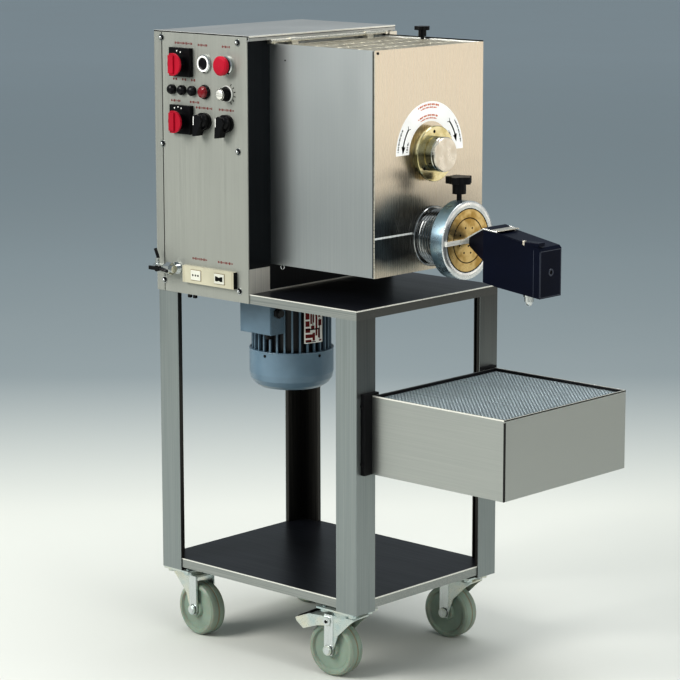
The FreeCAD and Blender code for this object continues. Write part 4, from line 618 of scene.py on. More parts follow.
def outline_plate(name, points, thickness, place, shader, body, bevel=0.0):
    """A flat plate: 2-D outline points turned into space by place(u, v, depth)."""
    mesh_data = bmesh.new()
    near = [mesh_data.verts.new(Vector(place(u, v, 0.0)) * MM) for u, v in points]
    far = [mesh_data.verts.new(Vector(place(u, v, thickness)) * MM) for u, v in points]
    mesh_data.faces.new(near)
    mesh_data.faces.new(list(reversed(far)))
    for index in range(len(points)):
        after = (index + 1) % len(points)
        mesh_data.faces.new([near[index], near[after], far[after], far[index]])
    return finish_piece(from_bmesh(name, mesh_data), shader, body, bevel=bevel)


def polar(radius, degrees):
    """A point at an angle, as (u, v)."""
    angle = math.radians(degrees)
    return radius * math.cos(angle), radius * math.sin(angle)


def round_x(centre, radius, degrees):
    """A point round an axis along X, measured from +Y."""
    u, v = polar(radius, degrees)
    return centre[0], centre[1] + u, centre[2] + v


def round_y(centre, radius, degrees):
    """A point round an axis along Y, measured from +X."""
    u, v = polar(radius, degrees)
    return centre[0] + u, centre[1], centre[2] + v


def round_z(centre, radius, degrees):
    """A point round an axis along Z, measured from +X."""
    u, v = polar(radius, degrees)
    return centre[0] + u, centre[1] + v, centre[2]


def arc(radius, start, end, steps):
    """Points on an arc in degrees, as (u, v)."""
    return [polar(radius, start + (end - start) * step / steps) for step in range(steps + 1)]


# ---------------------------------------------------------------- CAD nodes

CAD_LOOKS = {
    panel_steel: ["control_panel"],
    casing_steel: ["rear_casing"],
    cover_steel: ["top_cover"],
    wall_steel: ["inner_wall"],
    leg_steel: ["legs"],
    tray_steel: ["table_top_tray", "shelf_tray"],
    hopper_steel: ["hopper_shell"],
    front_steel: ["front_plate"],
    vat_steel: ["mixing_vat", "mixer_shaft"],
    lid_steel: ["lid_grate", "lid_hinge"],
    box_steel: ["fan_box_shell"],
    black_paint: ["fan_box_brackets"],
    zinc: ["caster_plates", "brake_pedal"],
    machined: ["auger"],
    blade_bright: ["cutter_blade"],
    barrel_metal: ["barrel"],
    ring_metal: ["die_ring"],
    bronze: ["extrusion_die"],
    brass: ["brass_collar", "shaft_bushes"],
    grip_steel: ["grip_knob"],
    chrome: ["chrome_fittings", "tap_body"],
    black_plastic: ["switch_bases", "start_button", "fuse_holders", "speed_knob", "selector_left",
                    "selector_right", "lid_knob", "ring_knob", "tap_lever", "impeller"],
    cutter_black: ["cutter_housing"],
    red_plastic: ["main_switch_handle", "mode_switch_handle", "stop_button"],
    red_lens: ["pilot_lamp"],
    cream_plastic: ["outlet_strip"],
    fin_enamel: ["motor_fins"],
    enamel: ["fan_cowl", "motor_body", "gearbox"],
    box_enamel: ["terminal_box"],
    iron: ["motor_rotor", "mixer_gear", "auger_pinion"],
}
CASTERS = ("front_near", "front_far", "rear_near", "rear_far")
CAD_LOOKS[zinc] += [f"fork_{name}" for name in CASTERS]
CAD_LOOKS[nylon] = [f"wheel_{name}" for name in CASTERS]


def dress_cad_nodes():
    for shader, names in CAD_LOOKS.items():
        for name in names:
            node = nodes[name]
            node.data.materials.clear()
            node.data.materials.append(shader.material)


dress_cad_nodes()

# ---------------------------------------------------------------- detail on the panel

panel_low = span("control_panel")[0]
PANEL = panel_low.y


def dashes(name, centre_x, level, width, face, shader, body):
    """A row of short bars of uneven width, standing for a printed caption."""
    pattern = ((2.2, 1.7), (1.4, 1.1), (2.6, 1.9), (1.2, 1.5), (2.0, 1.0), (1.6, 1.8))
    spans = []
    x = centre_x - width / 2
    index = 0
    while x < centre_x + width / 2:
        long, tall = pattern[index % len(pattern)]
        spans.append(((x, face - PROUD, level - tall), (x + long, face + 0.2, level + tall)))
        x += long + 1.3
        index += 1
    boxes(name, spans, shader, body)


def panel_marks():
    upper = middle("main_switch_handle")
    start, stop = middle("start_button"), middle("stop_button")
    lamp = middle("pilot_lamp")
    plate_top = span("switch_bases")[1].z
    captions = [
        (upper.x - 4, plate_top + 7, 38), (start.x - 5, plate_top + 6, 21), (stop.x - 3, plate_top + 6, 16),
        (upper.x - 24, lamp.z + 17, 8), (upper.x - 3, lamp.z + 17, 8), (upper.x + 18, lamp.z + 17, 8),
        (upper.x - 23, lamp.z - 18, 20), (upper.x + 20, lamp.z - 18, 19),
        (start.x - 3, lamp.z - 26, 36), (stop.x - 2, lamp.z - 26, 34)]
    strip_low, strip_high = span("outlet_strip")
    for share in (0.28, 0.78):
        captions.append((strip_low.x + (strip_high.x - strip_low.x) * share, strip_high.z + 12, 34))
    for index, (x, level, width) in enumerate(captions):
        dashes(f"panel_caption_{index}", x, level, width, PANEL, print_red, ROOT)


def switch_dots():
    low, high = span("switch_bases")
    face = PANEL - 8
    half = 23
    plates = {"upper": high.z - half, "lower": low.z + half}
    spots = {"upper": ((-5, 18), (3.2, 16.4)), "lower": ((-11.8, 18), (-3.6, 20), (3.6, 18.4))}
    for row, level in plates.items():
        left = low.x + 23.5
        places = [(left + u, face, level + v) for u, v in spots[row]]
        discs(f"switch_dots_{row}", places, 1.3, 0.15, (0, -1, 0), dot_white, ROOT)


def panel_fittings():
    low, high = span("chrome_fittings")
    xs = (low.x + 5.5, high.x - 5.5)
    levels = (low.z + 5.5, (low.z + high.z) / 2 + 26, high.z - 5.5)
    spots = [(x, low.y - 0.02, z) for x in xs for z in levels]
    for index, (x, y, z) in enumerate(spots):
        lathe(f"screw_head_{index}", [(0, 0), (2.2, -0.6), (3.6, -2.0), (4.3, -3.6)],
              (x, y, z), (0, -1, 0), gasket, ROOT, steps=20)
    stop = middle("stop_button")
    lathe("stop_neck", [(9.7, 5), (12.4, 5), (11.8, 6.2), (9.7, 6.2)],
          (stop.x, PANEL, stop.z), (0, -1, 0), black_plastic, ROOT)
    start = middle("start_button")
    lathe("start_bezel", [(10, 0), (10.3, 0.4), (12.7, 0.4), (13.0, 0)],
          (start.x, PANEL - 5, start.z), (0, -1, 0), dot_white, ROOT)
    lathe("start_ring", [(7.2, 4.1), (9.4, 4.1), (9.4, 4.9), (8.6, 5.1), (7.2, 4.3)],
          (start.x, PANEL, start.z), (0, -1, 0), black_plastic, "start_push")


def speed_dial():
    knob = middle("speed_knob")
    at = (knob.x, PANEL, knob.z)
    reach = PANEL - span("speed_knob")[0].y
    lathe("speed_cap", [(0, reach + 0.5), (6, reach + 0.5), (7.6, reach + 0.1),
                        (9.3, reach - 1.3), (9.6, reach - 6), (9.5, reach - 6.2)],
          at, (0, -1, 0), rim_steel, "speed_dial")
    lathe("speed_skirt", [(12.1, 0.9), (13.4, 0.9), (13.2, 2.4), (12.1, 3.2)],
          at, (0, -1, 0), white_plastic, "speed_dial")
    flutes = [round_y((knob.x, PANEL - 4, knob.z), 9.4, degrees) for degrees in range(0, 360, 18)]
    discs("speed_flutes", flutes, 0.9, reach - 10.5, (0, -1, 0), black_plastic, "speed_dial",
          steps=8)
    ticks = [round_y(at, radius, degrees) for degrees in range(-60, 61, 24) for radius in (15.4, 16.6, 17.8)]
    discs("speed_ticks", ticks, 0.85, PROUD, (0, -1, 0), print_black, ROOT, steps=10)


def selector_pointers():
    for name, body in (("selector_left", "selector_a"), ("selector_right", "selector_b")):
        low, high = span(name)
        centre_x = (low.x + high.x) / 2
        level = low.z + 23
        face = low.y
        outline_plate(f"{name}_pointer", [(-9, 8.6), (-7.4, 9.2), (-7.8, -5), (-9.2, -5)],
                      0.2, lambda u, v, w: (centre_x + u, face - w, level + v), dot_white, body)
        lathe(f"{name}_dome", [(0, 6.5), (6, 5.8), (9.5, 3.6), (11.6, 0)],
              (centre_x + 1, face + 8.5, level + 3), (0, -1, 0), black_plastic, body)


def outlet_modules():
    low, high = span("outlet_strip")
    length = high.x - low.x
    level = (low.z + high.z) / 2
    face = low.y
    for index, share in enumerate((0.27, 0.73)):
        x = low.x + length * share
        boxes(f"outlet_module_{index}", [((x - 11, face - 1.6, level - 8),
                                          (x + 11, face + 1.2, level + 8))],
              module_white, ROOT, bevel=0.5)
        boxes(f"outlet_outline_{index}", [((x - 12, face - 0.3, level - 9),
                                           (x + 12, face + 1.2, level + 9))], nylon_dark, ROOT)
    x = low.x + length * 0.27
    discs("outlet_holes", [(x + step, face - 1.6, level) for step in (-6, 0, 6)], 1.7, 0.1,
          (0, -1, 0), print_black, ROOT)
    x = low.x + length * 0.73
    outline_plate("rocker", [(-8, 4), (-4, 3.6), (0, 2), (4, 3.6), (8, 4),
                             (8, -3.6), (4, -4), (0, -2.6), (-4, -4), (-8, -3.6)],
                  0.5, lambda u, v, w: (x + u, face - 1.6 - w, level + v), print_black, ROOT)
    boxes("outlet_end", [((high.x - 0.4, low.y + 0.4, low.z + 0.4),
                          (high.x + 0.4, PANEL, high.z - 0.4))], black_plastic, ROOT)
    boxes("outlet_seams", [((low.x + 3, face - 0.08, low.z), (low.x + 3.6, face + 0.3, high.z)),
                           ((high.x - 3.6, face - 0.08, low.z), (high.x - 3, face + 0.3, high.z))],
          nylon_dark, ROOT)


def tap_details():
    low, high = span("tap_body")
    arm_low, arm_high = span("tap_lever")
    level = (arm_low.z + arm_high.z) / 2
    y = arm_low.y + 3
    tube("tap_grip", [(arm_high.x - 4, y, level), (arm_high.x + 8, y, level - 1),
                      (arm_high.x + 16, y + 1, level - 3)],
         2.4, black_plastic, "tap_handle")
    x = low.x + 4
    tube("tap_nozzle", [(x, (low.y + high.y) / 2, high.z - 1), (x - 3, (low.y + high.y) / 2, high.z + 6),
                        (x - 7, (low.y + high.y) / 2, high.z + 14)],
         2.6, black_plastic, ROOT)
    nut_x = high.x - 14
    discs("tap_ring", [(nut_x - 8, (low.y + high.y) / 2 + 2, level)], 8.2, 2, (1, 0, 0), chrome,
          ROOT, steps=32)


def panel_underside():
    x = panel_low.x + 50
    floor = panel_low.z
    boxes("panel_catches", [((x + step, PANEL + 2, floor - 6), (x + step + 6, PANEL + 7, floor))
                            for step in (0, 12)], black_plastic, ROOT, bevel=0.6)


panel_marks()
switch_dots()
panel_fittings()
speed_dial()
selector_pointers()
outlet_modules()
tap_details()
panel_underside()

# ---------------------------------------------------------------- hopper, front plate and lid

front_low, front_high = span("front_plate")
FRONT = front_high.x
DECAL_Y = middle("grip_knob").y + 2
DECAL_Z = middle("grip_knob").z + 1


def on_front(u, v, depth):
    return (FRONT + depth, DECAL_Y + u, DECAL_Z + v)


def band(inner, outer, start, end, steps=40):
    """The outline of part of a ring, in degrees."""
    return arc(outer, start, end, steps) + arc(inner, end, start, steps)


def decal():
    outline_plate("decal_plate", band(49, 80, 0, 180), 0.15, on_front, glowing_decal_white, ROOT)
    mark = lambda u, v, w: on_front(u, v, w + 0.15)
    for name, start, end, radius in (("near", 143, 176, 64), ("far", 43, 13, 65)):
        outline_plate(f"arrow_{name}_shaft", band(radius - 1.3, radius + 1.3, start, end, 16), 0.1, mark,
                      print_black, ROOT)
        turn = 1 if end > start else -1
        corners = ((end + 3 * turn, 0), (end - 8 * turn, 4.5), (end - 8 * turn, -4.5))
        points = [polar(radius + reach, angle) for angle, reach in corners]
        outline_plate(f"arrow_{name}_head", points, 0.1, mark, print_black, ROOT)
        for side in (-1, 1):
            flare = start - 4 * turn
            points = [polar(radius - 0.8, start), polar(radius + 0.8, start),
                      polar(radius + 4.4 * side, flare), polar(radius + 3.0 * side, flare)]
            outline_plate(f"arrow_{name}_tail_{side + 1}", points, 0.1, mark, print_black, ROOT)
    rows = ((75.2, 112, 72, 3.4, 2.2, "red_outer", decal_red),
            (70.6, 108, 76, 2.6, 2.0, "red_outer_low", decal_red),
            (58.5, 118, 68, 3.2, 2.2, "red_inner", decal_red),
            (54, 114, 72, 2.4, 2.0, "red_inner_low", decal_red),
            (75.2, 176, 146, 3.4, 1.5, "black_near", print_black),
            (54.5, 176, 156, 3.0, 1.4, "black_near_inner", print_black),
            (75.2, 38, 6, 3.2, 1.5, "black_far", print_black),
            (54.5, 34, 10, 2.8, 1.4, "black_far_inner", print_black))
    for radius, start, end, tall, wide, tag, shader in rows:
        step = math.degrees((wide + 1.0) / radius)
        count = int(abs(start - end) / step)
        for index in range(count):
            angle = start - step * index - (0.3 * step if index % 3 == 1 else 0)
            size = tall * (1.0 if index % 2 else 0.75)
            outline_plate(f"decal_{tag}_{index}",
                          band(radius - size / 2, radius + size / 2, angle,
                               angle - math.degrees(wide / radius), 1),
                          0.1, mark, shader, ROOT)


def hopper_trim():
    low, high = span("hopper_shell")
    boxes("front_gasket", [((front_low.x - 2.6, low.y - 0.35, low.z + 1),
                            (front_low.x, low.y + 0.3, high.z - 1))], gasket, ROOT)
    boxes("front_edge", [((front_low.x, low.y - 0.45, low.z), (front_high.x - 0.1, low.y, high.z))],
          lid_steel, ROOT)
    discs("corner_screw", [(FRONT, front_low.y + 6.5, front_high.z - 4.5)], 2.2, 0.8, (1, 0, 0),
          black_plastic, ROOT)
    discs("side_rivet", [(low.x + 34, low.y, high.z - 25)], 1.3, 0.5, (0, -1, 0), black_plastic, ROOT)
    eye = (low.x + 23, low.y + 3, low.z - 3.5)
    circle = [round_y(eye, 4.2, degrees) for degrees in range(0, 360, 45)]
    tube("hopper_eye", circle, 1.1, chrome, ROOT, cyclic=True)
    # A thin black strip along the far top edge of the hopper.
    boxes("far_edge_black_strip", [((low.x + 10, high.y - 2.2, high.z - 0.2), (FRONT, high.y, high.z + 1.6))],
          gasket, ROOT)


def cover_folds():
    low, high = span("top_cover")
    boxes("cover_fold", [((high.x - 2.6, low.y, high.z - 2.4), (high.x + 0.3, high.y, high.z + 0.25))],
          rim_steel, ROOT, bevel=0.4)
    # A black line just under the fold, painted as the fold's shadow.
    boxes("cover_fold_shadow_line", [((high.x - 0.4, low.y, high.z - 3.2), (high.x + 0.2, high.y, high.z - 2.5))],
          gasket, ROOT)
    boxes("cover_near_fold", [((low.x, low.y, high.z - 2.2), (high.x, low.y + 2.2, high.z + 0.25))],
          rim_steel, ROOT, bevel=0.4)


decal()
hopper_trim()
cover_folds()


# ---------------------------------------------------------------- extrusion head and cutter

def die_details():
    ring_front = span("die_ring")[1].x
    axis = middle("die_ring")
    die_front = span("extrusion_die")[1].x
    origin = (die_front, axis.y, axis.z)
    for tag, inner, outer in (("outer", 49.2, 50.8), ("inner", 34.6, 36.2)):
        lathe(f"die_gap_{tag}", [(inner, 0.02), (inner, 0.12), (outer, 0.12), (outer, 0.02)],
              origin, (1, 0, 0), print_black, "ring")
    spots = []
    for count, radius, first in ((8, 21, math.degrees(0.3)), (3, 9, math.degrees(0.6))):
        spots += [round_x(origin, radius, first + 360 * index / count) for index in range(count)]
    discs("die_holes", spots, 1.6, 0.12, (1, 0, 0), print_black, "ring")
    lathe("ring_lip", [(51.2, 0), (51.2, 0.3), (51.6, 0.5), (60.8, 0.5), (61.6, 0)],
          (ring_front - 0.2, axis.y, axis.z), (1, 0, 0), ring_metal, "ring", steps=96)


def barrel_thread():
    ring_back = span("die_ring")[0].x
    start = FRONT + 8
    count = 8
    pitch = (ring_back - start) / count
    profile = [(41.8, 0)]
    for index in range(count):
        base = index * pitch
        profile += [(42.2, base + 0.1 * pitch), (44.4, base + 0.42 * pitch), (44.4, base + 0.62 * pitch),
                    (42.2, base + 0.94 * pitch)]
    profile.append((41.8, ring_back - start))
    axis = middle("barrel")
    lathe("barrel_thread", profile, (start, axis.y, axis.z), (1, 0, 0), barrel_metal, ROOT, steps=72)
    lathe("barrel_flange", [(42.1, 0), (47, 0), (48, 1), (48, 4), (47, 5), (42.1, 5)],
          (FRONT, axis.y, axis.z), (1, 0, 0), barrel_metal, ROOT, steps=72)


def shutter_details():
    axis = middle("grip_knob")
    face = span("grip_knob")[1].x
    lathe("grip_face", [(0, 0.4), (26, 0.4), (27.2, -0.8), (27.3, -2)],
          (face, axis.y, axis.z), (1, 0, 0), brass_face, "shutter", steps=96)
    collar = (span("brass_collar")[1].x, axis.y, axis.z)
    spots = [round_x(collar, 35.5, degrees) for degrees in (97, 217, 337)]
    discs("collar_holes", spots, 2.6, 0.12, (1, 0, 0), print_black, "shutter")


def cutter_details():
    low, high = span("cutter_housing")
    top = high.z
    apex = Vector((low.x - 0.6, low.y, middle("barrel").z + 1))
    shoulder = low.x + 45
    for tag, near, far in (("near", low.y - 1.2, low.y + 0.4), ("far", high.y - 0.4, high.y + 1.2)):
        outline_plate(f"nose_bracket_{tag}", [
            (apex.x, apex.z - 1), (shoulder, top - 3), (shoulder + 28, top - 5.4),
            (shoulder + 28, top - 3.6), (shoulder, top - 0.8), (apex.x - 0.6, apex.z + 1.6)],
            far - near, lambda u, v, w: (u, near + w, v), blade_steel, "cutter", bevel=0.2)
    bend = shoulder + 26
    slope = 0.178

    def roof(x):
        """The height of the cutter's sloping top edge."""
        return top - 6 - (x - bend) * slope

    boxes("cutter_lip", [((shoulder + 2, low.y + 2, top - 3.6), (shoulder + 30, high.y - 2, top - 2.6))],
          lid_steel, "cutter")
    rib = [(bend, roof(bend)), (high.x, roof(high.x)), (high.x, roof(high.x) + 1.4), (bend, roof(bend) + 1.4)]
    outline_plate("cutter_rib", rib, 0.8, lambda u, v, w: (u, low.y - 0.3 + w, v), cutter_black, "cutter")
    clip_x = high.x - 30
    clip_z = roof(clip_x)
    boxes("cutter_clip", [((clip_x - 2, low.y - 0.8, clip_z - 3), (clip_x + 28, low.y + 14, clip_z + 2.6))],
          cutter_black, "cutter", bevel=0.8)
    boxes("cutter_pin", [((clip_x - 3.4, low.y - 1.4, clip_z - 3), (clip_x + 0.6, low.y + 4, clip_z + 4))],
          brass_face, "cutter", bevel=0.5)
    hole = (high.x, (low.y + high.y) / 2 + 1, middle("cutter_housing").z - 11)
    lathe("cutter_boss", [(0, 0.02), (3.2, 0.02), (3.4, 0.8), (5.4, 0.9), (6, 0)],
          hole, (1, 0, 0), edge_glint_black, "cutter")
    discs("cutter_socket", [hole], 3.1, 0.1, (1, 0, 0), gasket, "cutter")
    end = high.x
    end_top = middle("barrel").z + 2
    end_low = low.z + 1
    near, far = low.y + 1, high.y - 1
    inset = 1.2
    # Painted highlights: lighter black lines along the end face's edges and on two upright edges.
    sides = [((end, near, end_low), (end + PROUD, near + inset, end_top)),
             ((end, far - inset, end_low), (end + PROUD, far, end_top))]
    levels = [((end, near + inset, start), (end + PROUD, far - inset, start + inset))
              for start in (end_top - inset, end_low)]
    boxes("cutter_end_edge_glints", sides + levels, edge_glint_black, "cutter")
    boxes("cutter_cap_edge_glints", [((end - 13, low.y - PROUD, end_low), (end - 12.2, low.y + PROUD, end_top + 1)),
                              ((end - 0.9, low.y - PROUD, end_low), (end, low.y + PROUD, end_top - 1))],
          edge_glint_black, "cutter")
    nut = (low.x + 116, middle("cutter_housing").y, low.z + 1)
    lathe("dome_nut", [(0, 20), (3, 19), (5, 16), (5.6, 12), (7.4, 12), (7.4, 5), (9, 4.4), (9, 0)],
          nut, (0, 0, -1), chrome, "cutter", steps=24)


die_details()
barrel_thread()
shutter_details()
cutter_details()


# ---------------------------------------------------------------- motor

def motor_details():
    cowl_low, cowl_high = span("fan_cowl")
    axis = (cowl_low + cowl_high) / 2
    fin_reach = 66.4
    top = cowl_high.z

    def curved(name, first, last, low, high, lift, shader):
        """A thin plate bent round the motor's jacket, between two angles and two heights."""
        mesh_data = bmesh.new()
        outer = fin_reach + lift
        section = ((outer, low), (outer, high), (outer - 0.5, high), (outer - 0.5, low))
        rows = []
        for step in range(9):
            degrees = first + (last - first) * step / 8
            ring = [Vector(round_z((axis.x, axis.y, z), radius, degrees)) for radius, z in section]
            rows.append([mesh_data.verts.new(point * MM) for point in ring])
        for one, two in zip(rows, rows[1:]):
            for side in range(4):
                after = (side + 1) % 4
                mesh_data.faces.new([one[side], one[after], two[after], two[side]])
        mesh_data.faces.new(rows[0])
        mesh_data.faces.new(list(reversed(rows[-1])))
        finish_piece(from_bmesh(name, mesh_data), shader, ROOT)

    curved("nameplate", -28, 3, top + 16, top + 72, 0.3, label_white)
    blocks = ((-26, -20, 56, 70), (-18.5, -16, 48, 70), (-26, -20, 44, 53), (-26, -19, 34, 41),
              (-17.5, -12, 38, 45), (-26, -14, 25, 31), (-26, -17, 19, 22), (-10, -7, 28, 70),
              (-15, -12.5, 50, 70), (-5, -1, 58, 70), (-5, 1, 44, 54), (-5.5, -2, 24, 40),
              (-15, -11, 20, 33), (-4, 1, 18.5, 21))
    lines = ((-26, -4, 38, 40), (-15, -14, 44, 70), (-3, -2, 22, 56), (-26, -10, 17.5, 19))
    for tag, marks, lift, shader in (("field", blocks, 0.45, print_red), ("line", lines, 0.5, print_black)):
        for index, (first, last, low, high) in enumerate(marks):
            curved(f"nameplate_{tag}_{index}", first, last, top + low, top + high, lift, shader)
    for degrees in (-85, -5, 85, 175):
        angle = math.radians(degrees)
        outward = Vector((math.cos(angle), math.sin(angle), 0))
        at = Vector((axis.x, axis.y, top - 6)) + outward * (cowl_high.x - cowl_low.x) / 2
        discs(f"cowl_screw_{degrees + 90}", [at - outward * 0.3], 2.4, 1.0, outward, black_plastic, ROOT)
    lathe("cowl_rim", [(69, 0), (69.9, 0), (70.2, 0.8), (69.9, 1.8), (68, 1.8)],
          (axis.x, axis.y, top - 1.2), (0, 0, 1), enamel, ROOT, steps=96)
    box_low, box_high = span("terminal_box")
    lathe("lower_gland", [(0, 0), (8, 0), (8, 3), (6, 4), (6, 8), (3.5, 9), (0, 9)],
          (box_high.x - 26, box_low.y + 11, box_low.z), (0, 0, -1), black_plastic, ROOT)
    boxes("terminal_lid", [((box_low.x + 1, box_low.y - 1.2, box_low.z + 1),
                            (box_high.x - 12, box_low.y, box_high.z - 1))], enamel, ROOT, bevel=0.8)


motor_details()


# ---------------------------------------------------------------- fan box and casters

def woven_mesh():
    """Crossing wavy wires in place of the flat cover."""
    low, high = span("fan_box_mesh")
    level = (low.z + high.z) / 2
    pitch = 3.6
    thick = 0.5
    wave = 0.55
    mesh_data = bmesh.new()

    def wire(along, across, fixed, start, end, phase):
        count = int((end - start) / pitch) + 1
        previous = None
        for index in range(count + 1):
            place = min(start + index * pitch, end)
            lift = wave if (index + phase) % 2 else -wave
            ring = []
            for side, rise in ((-thick, -thick), (thick, -thick), (thick, thick), (-thick, thick)):
                point = Vector((0, 0, level + lift + rise))
                point[along] = place
                point[across] = fixed + side
                ring.append(mesh_data.verts.new(point * MM))
            if previous:
                for side_index in range(4):
                    after = (side_index + 1) % 4
                    mesh_data.faces.new([previous[side_index], previous[after], ring[after],
                                         ring[side_index]])
            previous = ring

    for along, across in ((0, 1), (1, 0)):
        steps = int((high[across] - low[across]) / pitch)
        for index in range(steps):
            fixed = low[across] + (index + 0.5) * pitch
            wire(along, across, fixed, low[along], high[along], index + along)
    piece = finish_piece(from_bmesh("woven_cover", mesh_data), wire_steel, ROOT)
    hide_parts("fan_box_mesh")
    rim = 3
    frame_low, frame_high = level - 1.2, span("fan_box_shell")[1].z - 0.3
    spans = [((low.x, low.y, frame_low), (high.x, low.y + rim, frame_high)),
             ((low.x, high.y - rim, frame_low), (high.x, high.y, frame_high)),
             ((low.x, low.y + rim, frame_low), (low.x + rim, high.y - rim, frame_high)),
             ((high.x - rim, low.y + rim, frame_low), (high.x, high.y - rim, frame_high))]
    boxes("cover_frame", spans, black_paint, ROOT)


def fan_box_trim():
    low, high = span("fan_box_shell")
    thin = 0.5
    boxes("box_rim", [((low.x, low.y - 0.1, high.z - 1.8), (high.x - thin, low.y + 1.5, high.z + 0.3)),
                      ((high.x - 1.5, low.y, high.z - 1.8), (high.x, high.y, high.z + 0.3)),
                      ((low.x, high.y - 1.5, high.z - 1.8), (high.x - thin, high.y, high.z + 0.3))],
          rim_steel, ROOT)
    # Two white dots on the far rim, painted as glints.
    discs("rim_glint_dots", [(high.x - 60, high.y - 1.2, high.z), (high.x - 14, high.y - 1.2, high.z)],
          1.2, 0.5, (0, 0, 1), dot_white, ROOT)
    bracket = span("fan_box_brackets")[0]
    spots = [(bracket.x + 3, bracket.y, bracket.z + step) for step in (18, 110)]
    discs("bracket_screws", spots, 3, 1.4, (0, -1, 0), black_paint, ROOT, steps=6)


def joint_at(name):
    """The place of a joint, in millimetres."""
    return next(Vector(joint["pos_m"]) / MM for joint in frame["joints"] if joint["name"] == name)


def caster_details():
    for name in CASTERS:
        swivel = joint_at(f"swivel_{name}")
        roll = joint_at(f"roll_{name}")
        trail = Vector((roll.x - swivel.x, roll.y - swivel.y, 0))
        along = trail.normalized()
        across = Vector((-along.y, along.x, 0))
        fork_top = span(f"fork_{name}")[1].z
        top = fork_top - 9
        gap = 19.5
        for side in (-1, 1):
            out = across * side

            def at(u, v, w):
                return roll + along * u + Vector((0, 0, v)) + out * (gap + w)

            strip = [(8, top - roll.z), (-9, top - roll.z), (-9, 2)]
            strip += arc(9, 180, 360, 12)
            strip[-1] = (9, 0)
            outline_plate(f"fork_strip_{name}_{side + 1}", strip, 1.0, at, zinc_bright, f"caster_{name}",
                          bevel=0.3)
            lathe(f"axle_washer_{name}_{side + 1}", [(4, 1.0), (8.4, 1.0), (8.4, 2.0), (4, 2.0)],
                  roll + out * gap, tuple(out), black_plastic, f"caster_{name}", steps=32)
            head = roll + out * (gap + 2.0)
            discs(f"axle_head_{name}_{side + 1}", [head], 5.8, 4.2, tuple(out), zinc_bright,
                  f"caster_{name}", steps=6)
        lathe(f"tread_line_{name}", [(42.6, -1.1), (44.1, -1.1), (44.1, 1.1), (42.6, 1.1)],
              roll, tuple(across), nylon_dark, f"wheel_{name}_spin", steps=64)
        lathe(f"fork_bearing_{name}", [(15, -4), (21, -4), (23.2, 0), (23.2, 3), (20, 5)],
              (swivel.x, swivel.y, fork_top - 6), (0, 0, 1), zinc, f"caster_{name}")


def pedal_details():
    swivel = joint_at("swivel_front_near")
    pin = joint_at("brake")
    roll = joint_at("roll_front_near")
    along = Vector((roll.x - swivel.x, roll.y - swivel.y, 0)).normalized()
    across = Vector((-along.y, along.x, 0))

    def at(u, v, w):
        return pin + along * u + Vector((0, 0, v)) + across * w

    outline_plate("pedal_rubber", [(34, 6.2), (37, 10.4), (60, -0.6), (63.6, -3.6)],
                  37, lambda u, v, w: at(u, v, w - 18.5), rubber, "pedal", bevel=1)
    for side in (-1, 1):
        out = across * side
        lathe(f"pedal_boss_{side + 1}", [(2.6, 0), (7, 0), (6.4, 1.2), (2.6, 1.2)],
              pin + out * 22, tuple(out), zinc_bright, "pedal")
        discs(f"pedal_pin_{side + 1}", [pin + out * 24.5], 2.7, 0.3, tuple(out), black_plastic,
              "caster_front_near")


woven_mesh()
fan_box_trim()
caster_details()
pedal_details()


def tray_edges():
    for name in ("table_top_tray", "shelf_tray"):
        low, high = span(name)
        top = high.z
        # A pale strip along each tray's top edge, painted as the edge's highlight.
        boxes(f"{name}_lip", [((low.x, low.y - 0.12, top - 1.3), (high.x, low.y + 1.6, top + 0.25)),
                              ((high.x - 1.6, low.y, top - 1.6), (high.x + 0.12, high.y, top + 0.25))],
              rim_steel, ROOT)


tray_edges()

# ---------------------------------------------------------------- stage

CAMERA_EYE = Vector((2.7764, -3.0935, 1.3157))
CAMERA_AZIMUTH = 42.85
CAMERA_ELEVATION = 10.78
CAMERA_ROLL = -0.08
CAMERA_LENS = 139.65
BACKDROP_DEPTH = 12.0


def make_camera():
    data = bpy.data.cameras.new("camera")
    data.lens = CAMERA_LENS
    data.sensor_width = 36
    camera = bpy.data.objects.new("camera", data)
    azimuth = math.radians(CAMERA_AZIMUTH)
    elevation = math.radians(CAMERA_ELEVATION)
    forward = Vector((-math.sin(azimuth) * math.cos(elevation), math.cos(azimuth) * math.cos(elevation),
                      -math.sin(elevation)))
    turn = forward.to_track_quat("-Z", "Y").to_matrix().to_4x4()
    camera.matrix_world = Matrix.Translation(CAMERA_EYE) @ turn @ Matrix.Rotation(math.radians(CAMERA_ROLL),
                                                                                  4, "Z")
    bpy.context.scene.collection.objects.link(camera)
    bpy.context.scene.camera = camera


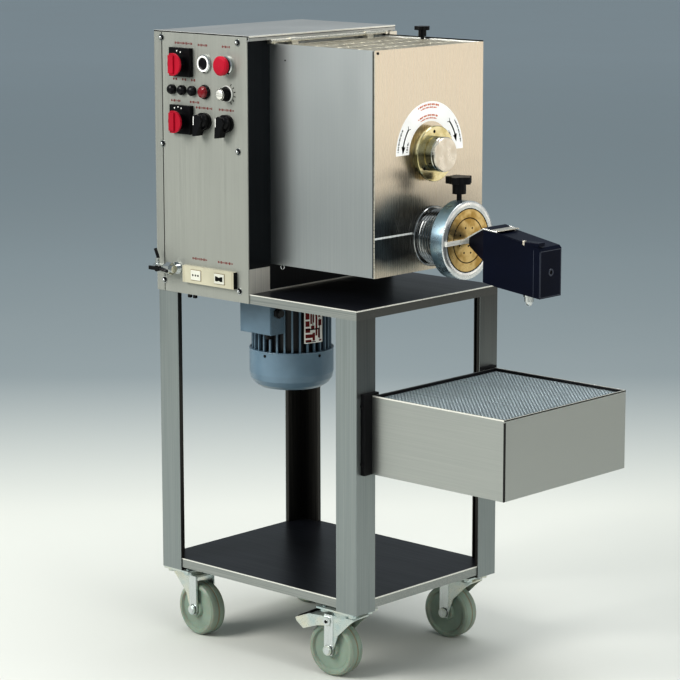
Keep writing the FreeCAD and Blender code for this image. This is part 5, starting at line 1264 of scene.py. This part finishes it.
def make_floor():
    shader = Shader("floor", roughness=0.9)
    place = shader.position()
    along = shader.times(shader.axis_value(place, 0), -math.sin(math.radians(CAMERA_AZIMUTH)))
    across = shader.times(shader.axis_value(place, 1), math.cos(math.radians(CAMERA_AZIMUTH)))
    depth = shader.times(shader.maths("ADD", along, across), 1 / BACKDROP_DEPTH)
    clouds = shader.noise((1.5, 1.5, 1.5))
    # Painted light: a pale pool near the machine falls off to a darker band, then turns paler and bluer far
    # back.
    tone = shader.ramp(depth, [(0.0, (0.66, 0.67, 0.63)), (0.08, (0.70, 0.71, 0.66)),
                               (0.19, (0.35, 0.40, 0.415)),
                               (0.34, (0.43, 0.495, 0.52)), (1.0, (0.58, 0.65, 0.69))])
    shader.set(Base_Color=shader.blend(shader.ramp(clouds, [(0.3, 0.0), (0.7, 0.06)]), tone,
                                       (0.5, 0.52, 0.52)))
    mesh_data = bmesh.new()
    bmesh.ops.create_grid(mesh_data, x_segments=1, y_segments=1, size=40)
    floor = from_bmesh("floor", mesh_data)
    floor.data.materials.append(shader.material)
    floor.location.z = -0.0002


def area_light(name, place, target, size, power, colour=(1, 1, 1)):
    data = bpy.data.lights.new(name, "AREA")
    data.shape = "RECTANGLE"
    data.size, data.size_y = size
    data.energy = power
    data.color = colour
    lamp = bpy.data.objects.new(name, data)
    lamp.location = place
    lamp.rotation_euler = (Vector(target) - Vector(place)).to_track_quat("-Z", "Y").to_euler()
    bpy.context.scene.collection.objects.link(lamp)


def make_lights():
    world = bpy.data.worlds.new("studio")
    world.use_nodes = True
    world.node_tree.nodes["Background"].inputs["Color"].default_value = (0.72, 0.80, 0.84, 1)
    world.node_tree.nodes["Background"].inputs["Strength"].default_value = 0.42
    bpy.context.scene.world = world
    area_light("key", (-1.4, -3.0, 2.6), (0, 0, 0.6), (2.0, 2.0), 120, (1.0, 0.98, 0.94))
    area_light("warm", (2.3, 2.3, 0.75), (0, 0, 0.75), (1.9, 0.95), 4.8, (1.0, 0.90, 0.79))
    area_light("side", (3.6, -0.8, 2.0), (0, 0, 0.6), (2.0, 2.0), 36, (1.0, 0.97, 0.92))
    area_light("top", (0.2, 0.4, 3.2), (0, 0, 0.6), (2.2, 2.2), 55)
    bpy.context.scene.view_settings.view_transform = "Standard"
    bpy.context.scene.view_settings.look = "Medium High Contrast"


make_camera()
make_floor()
make_lights()
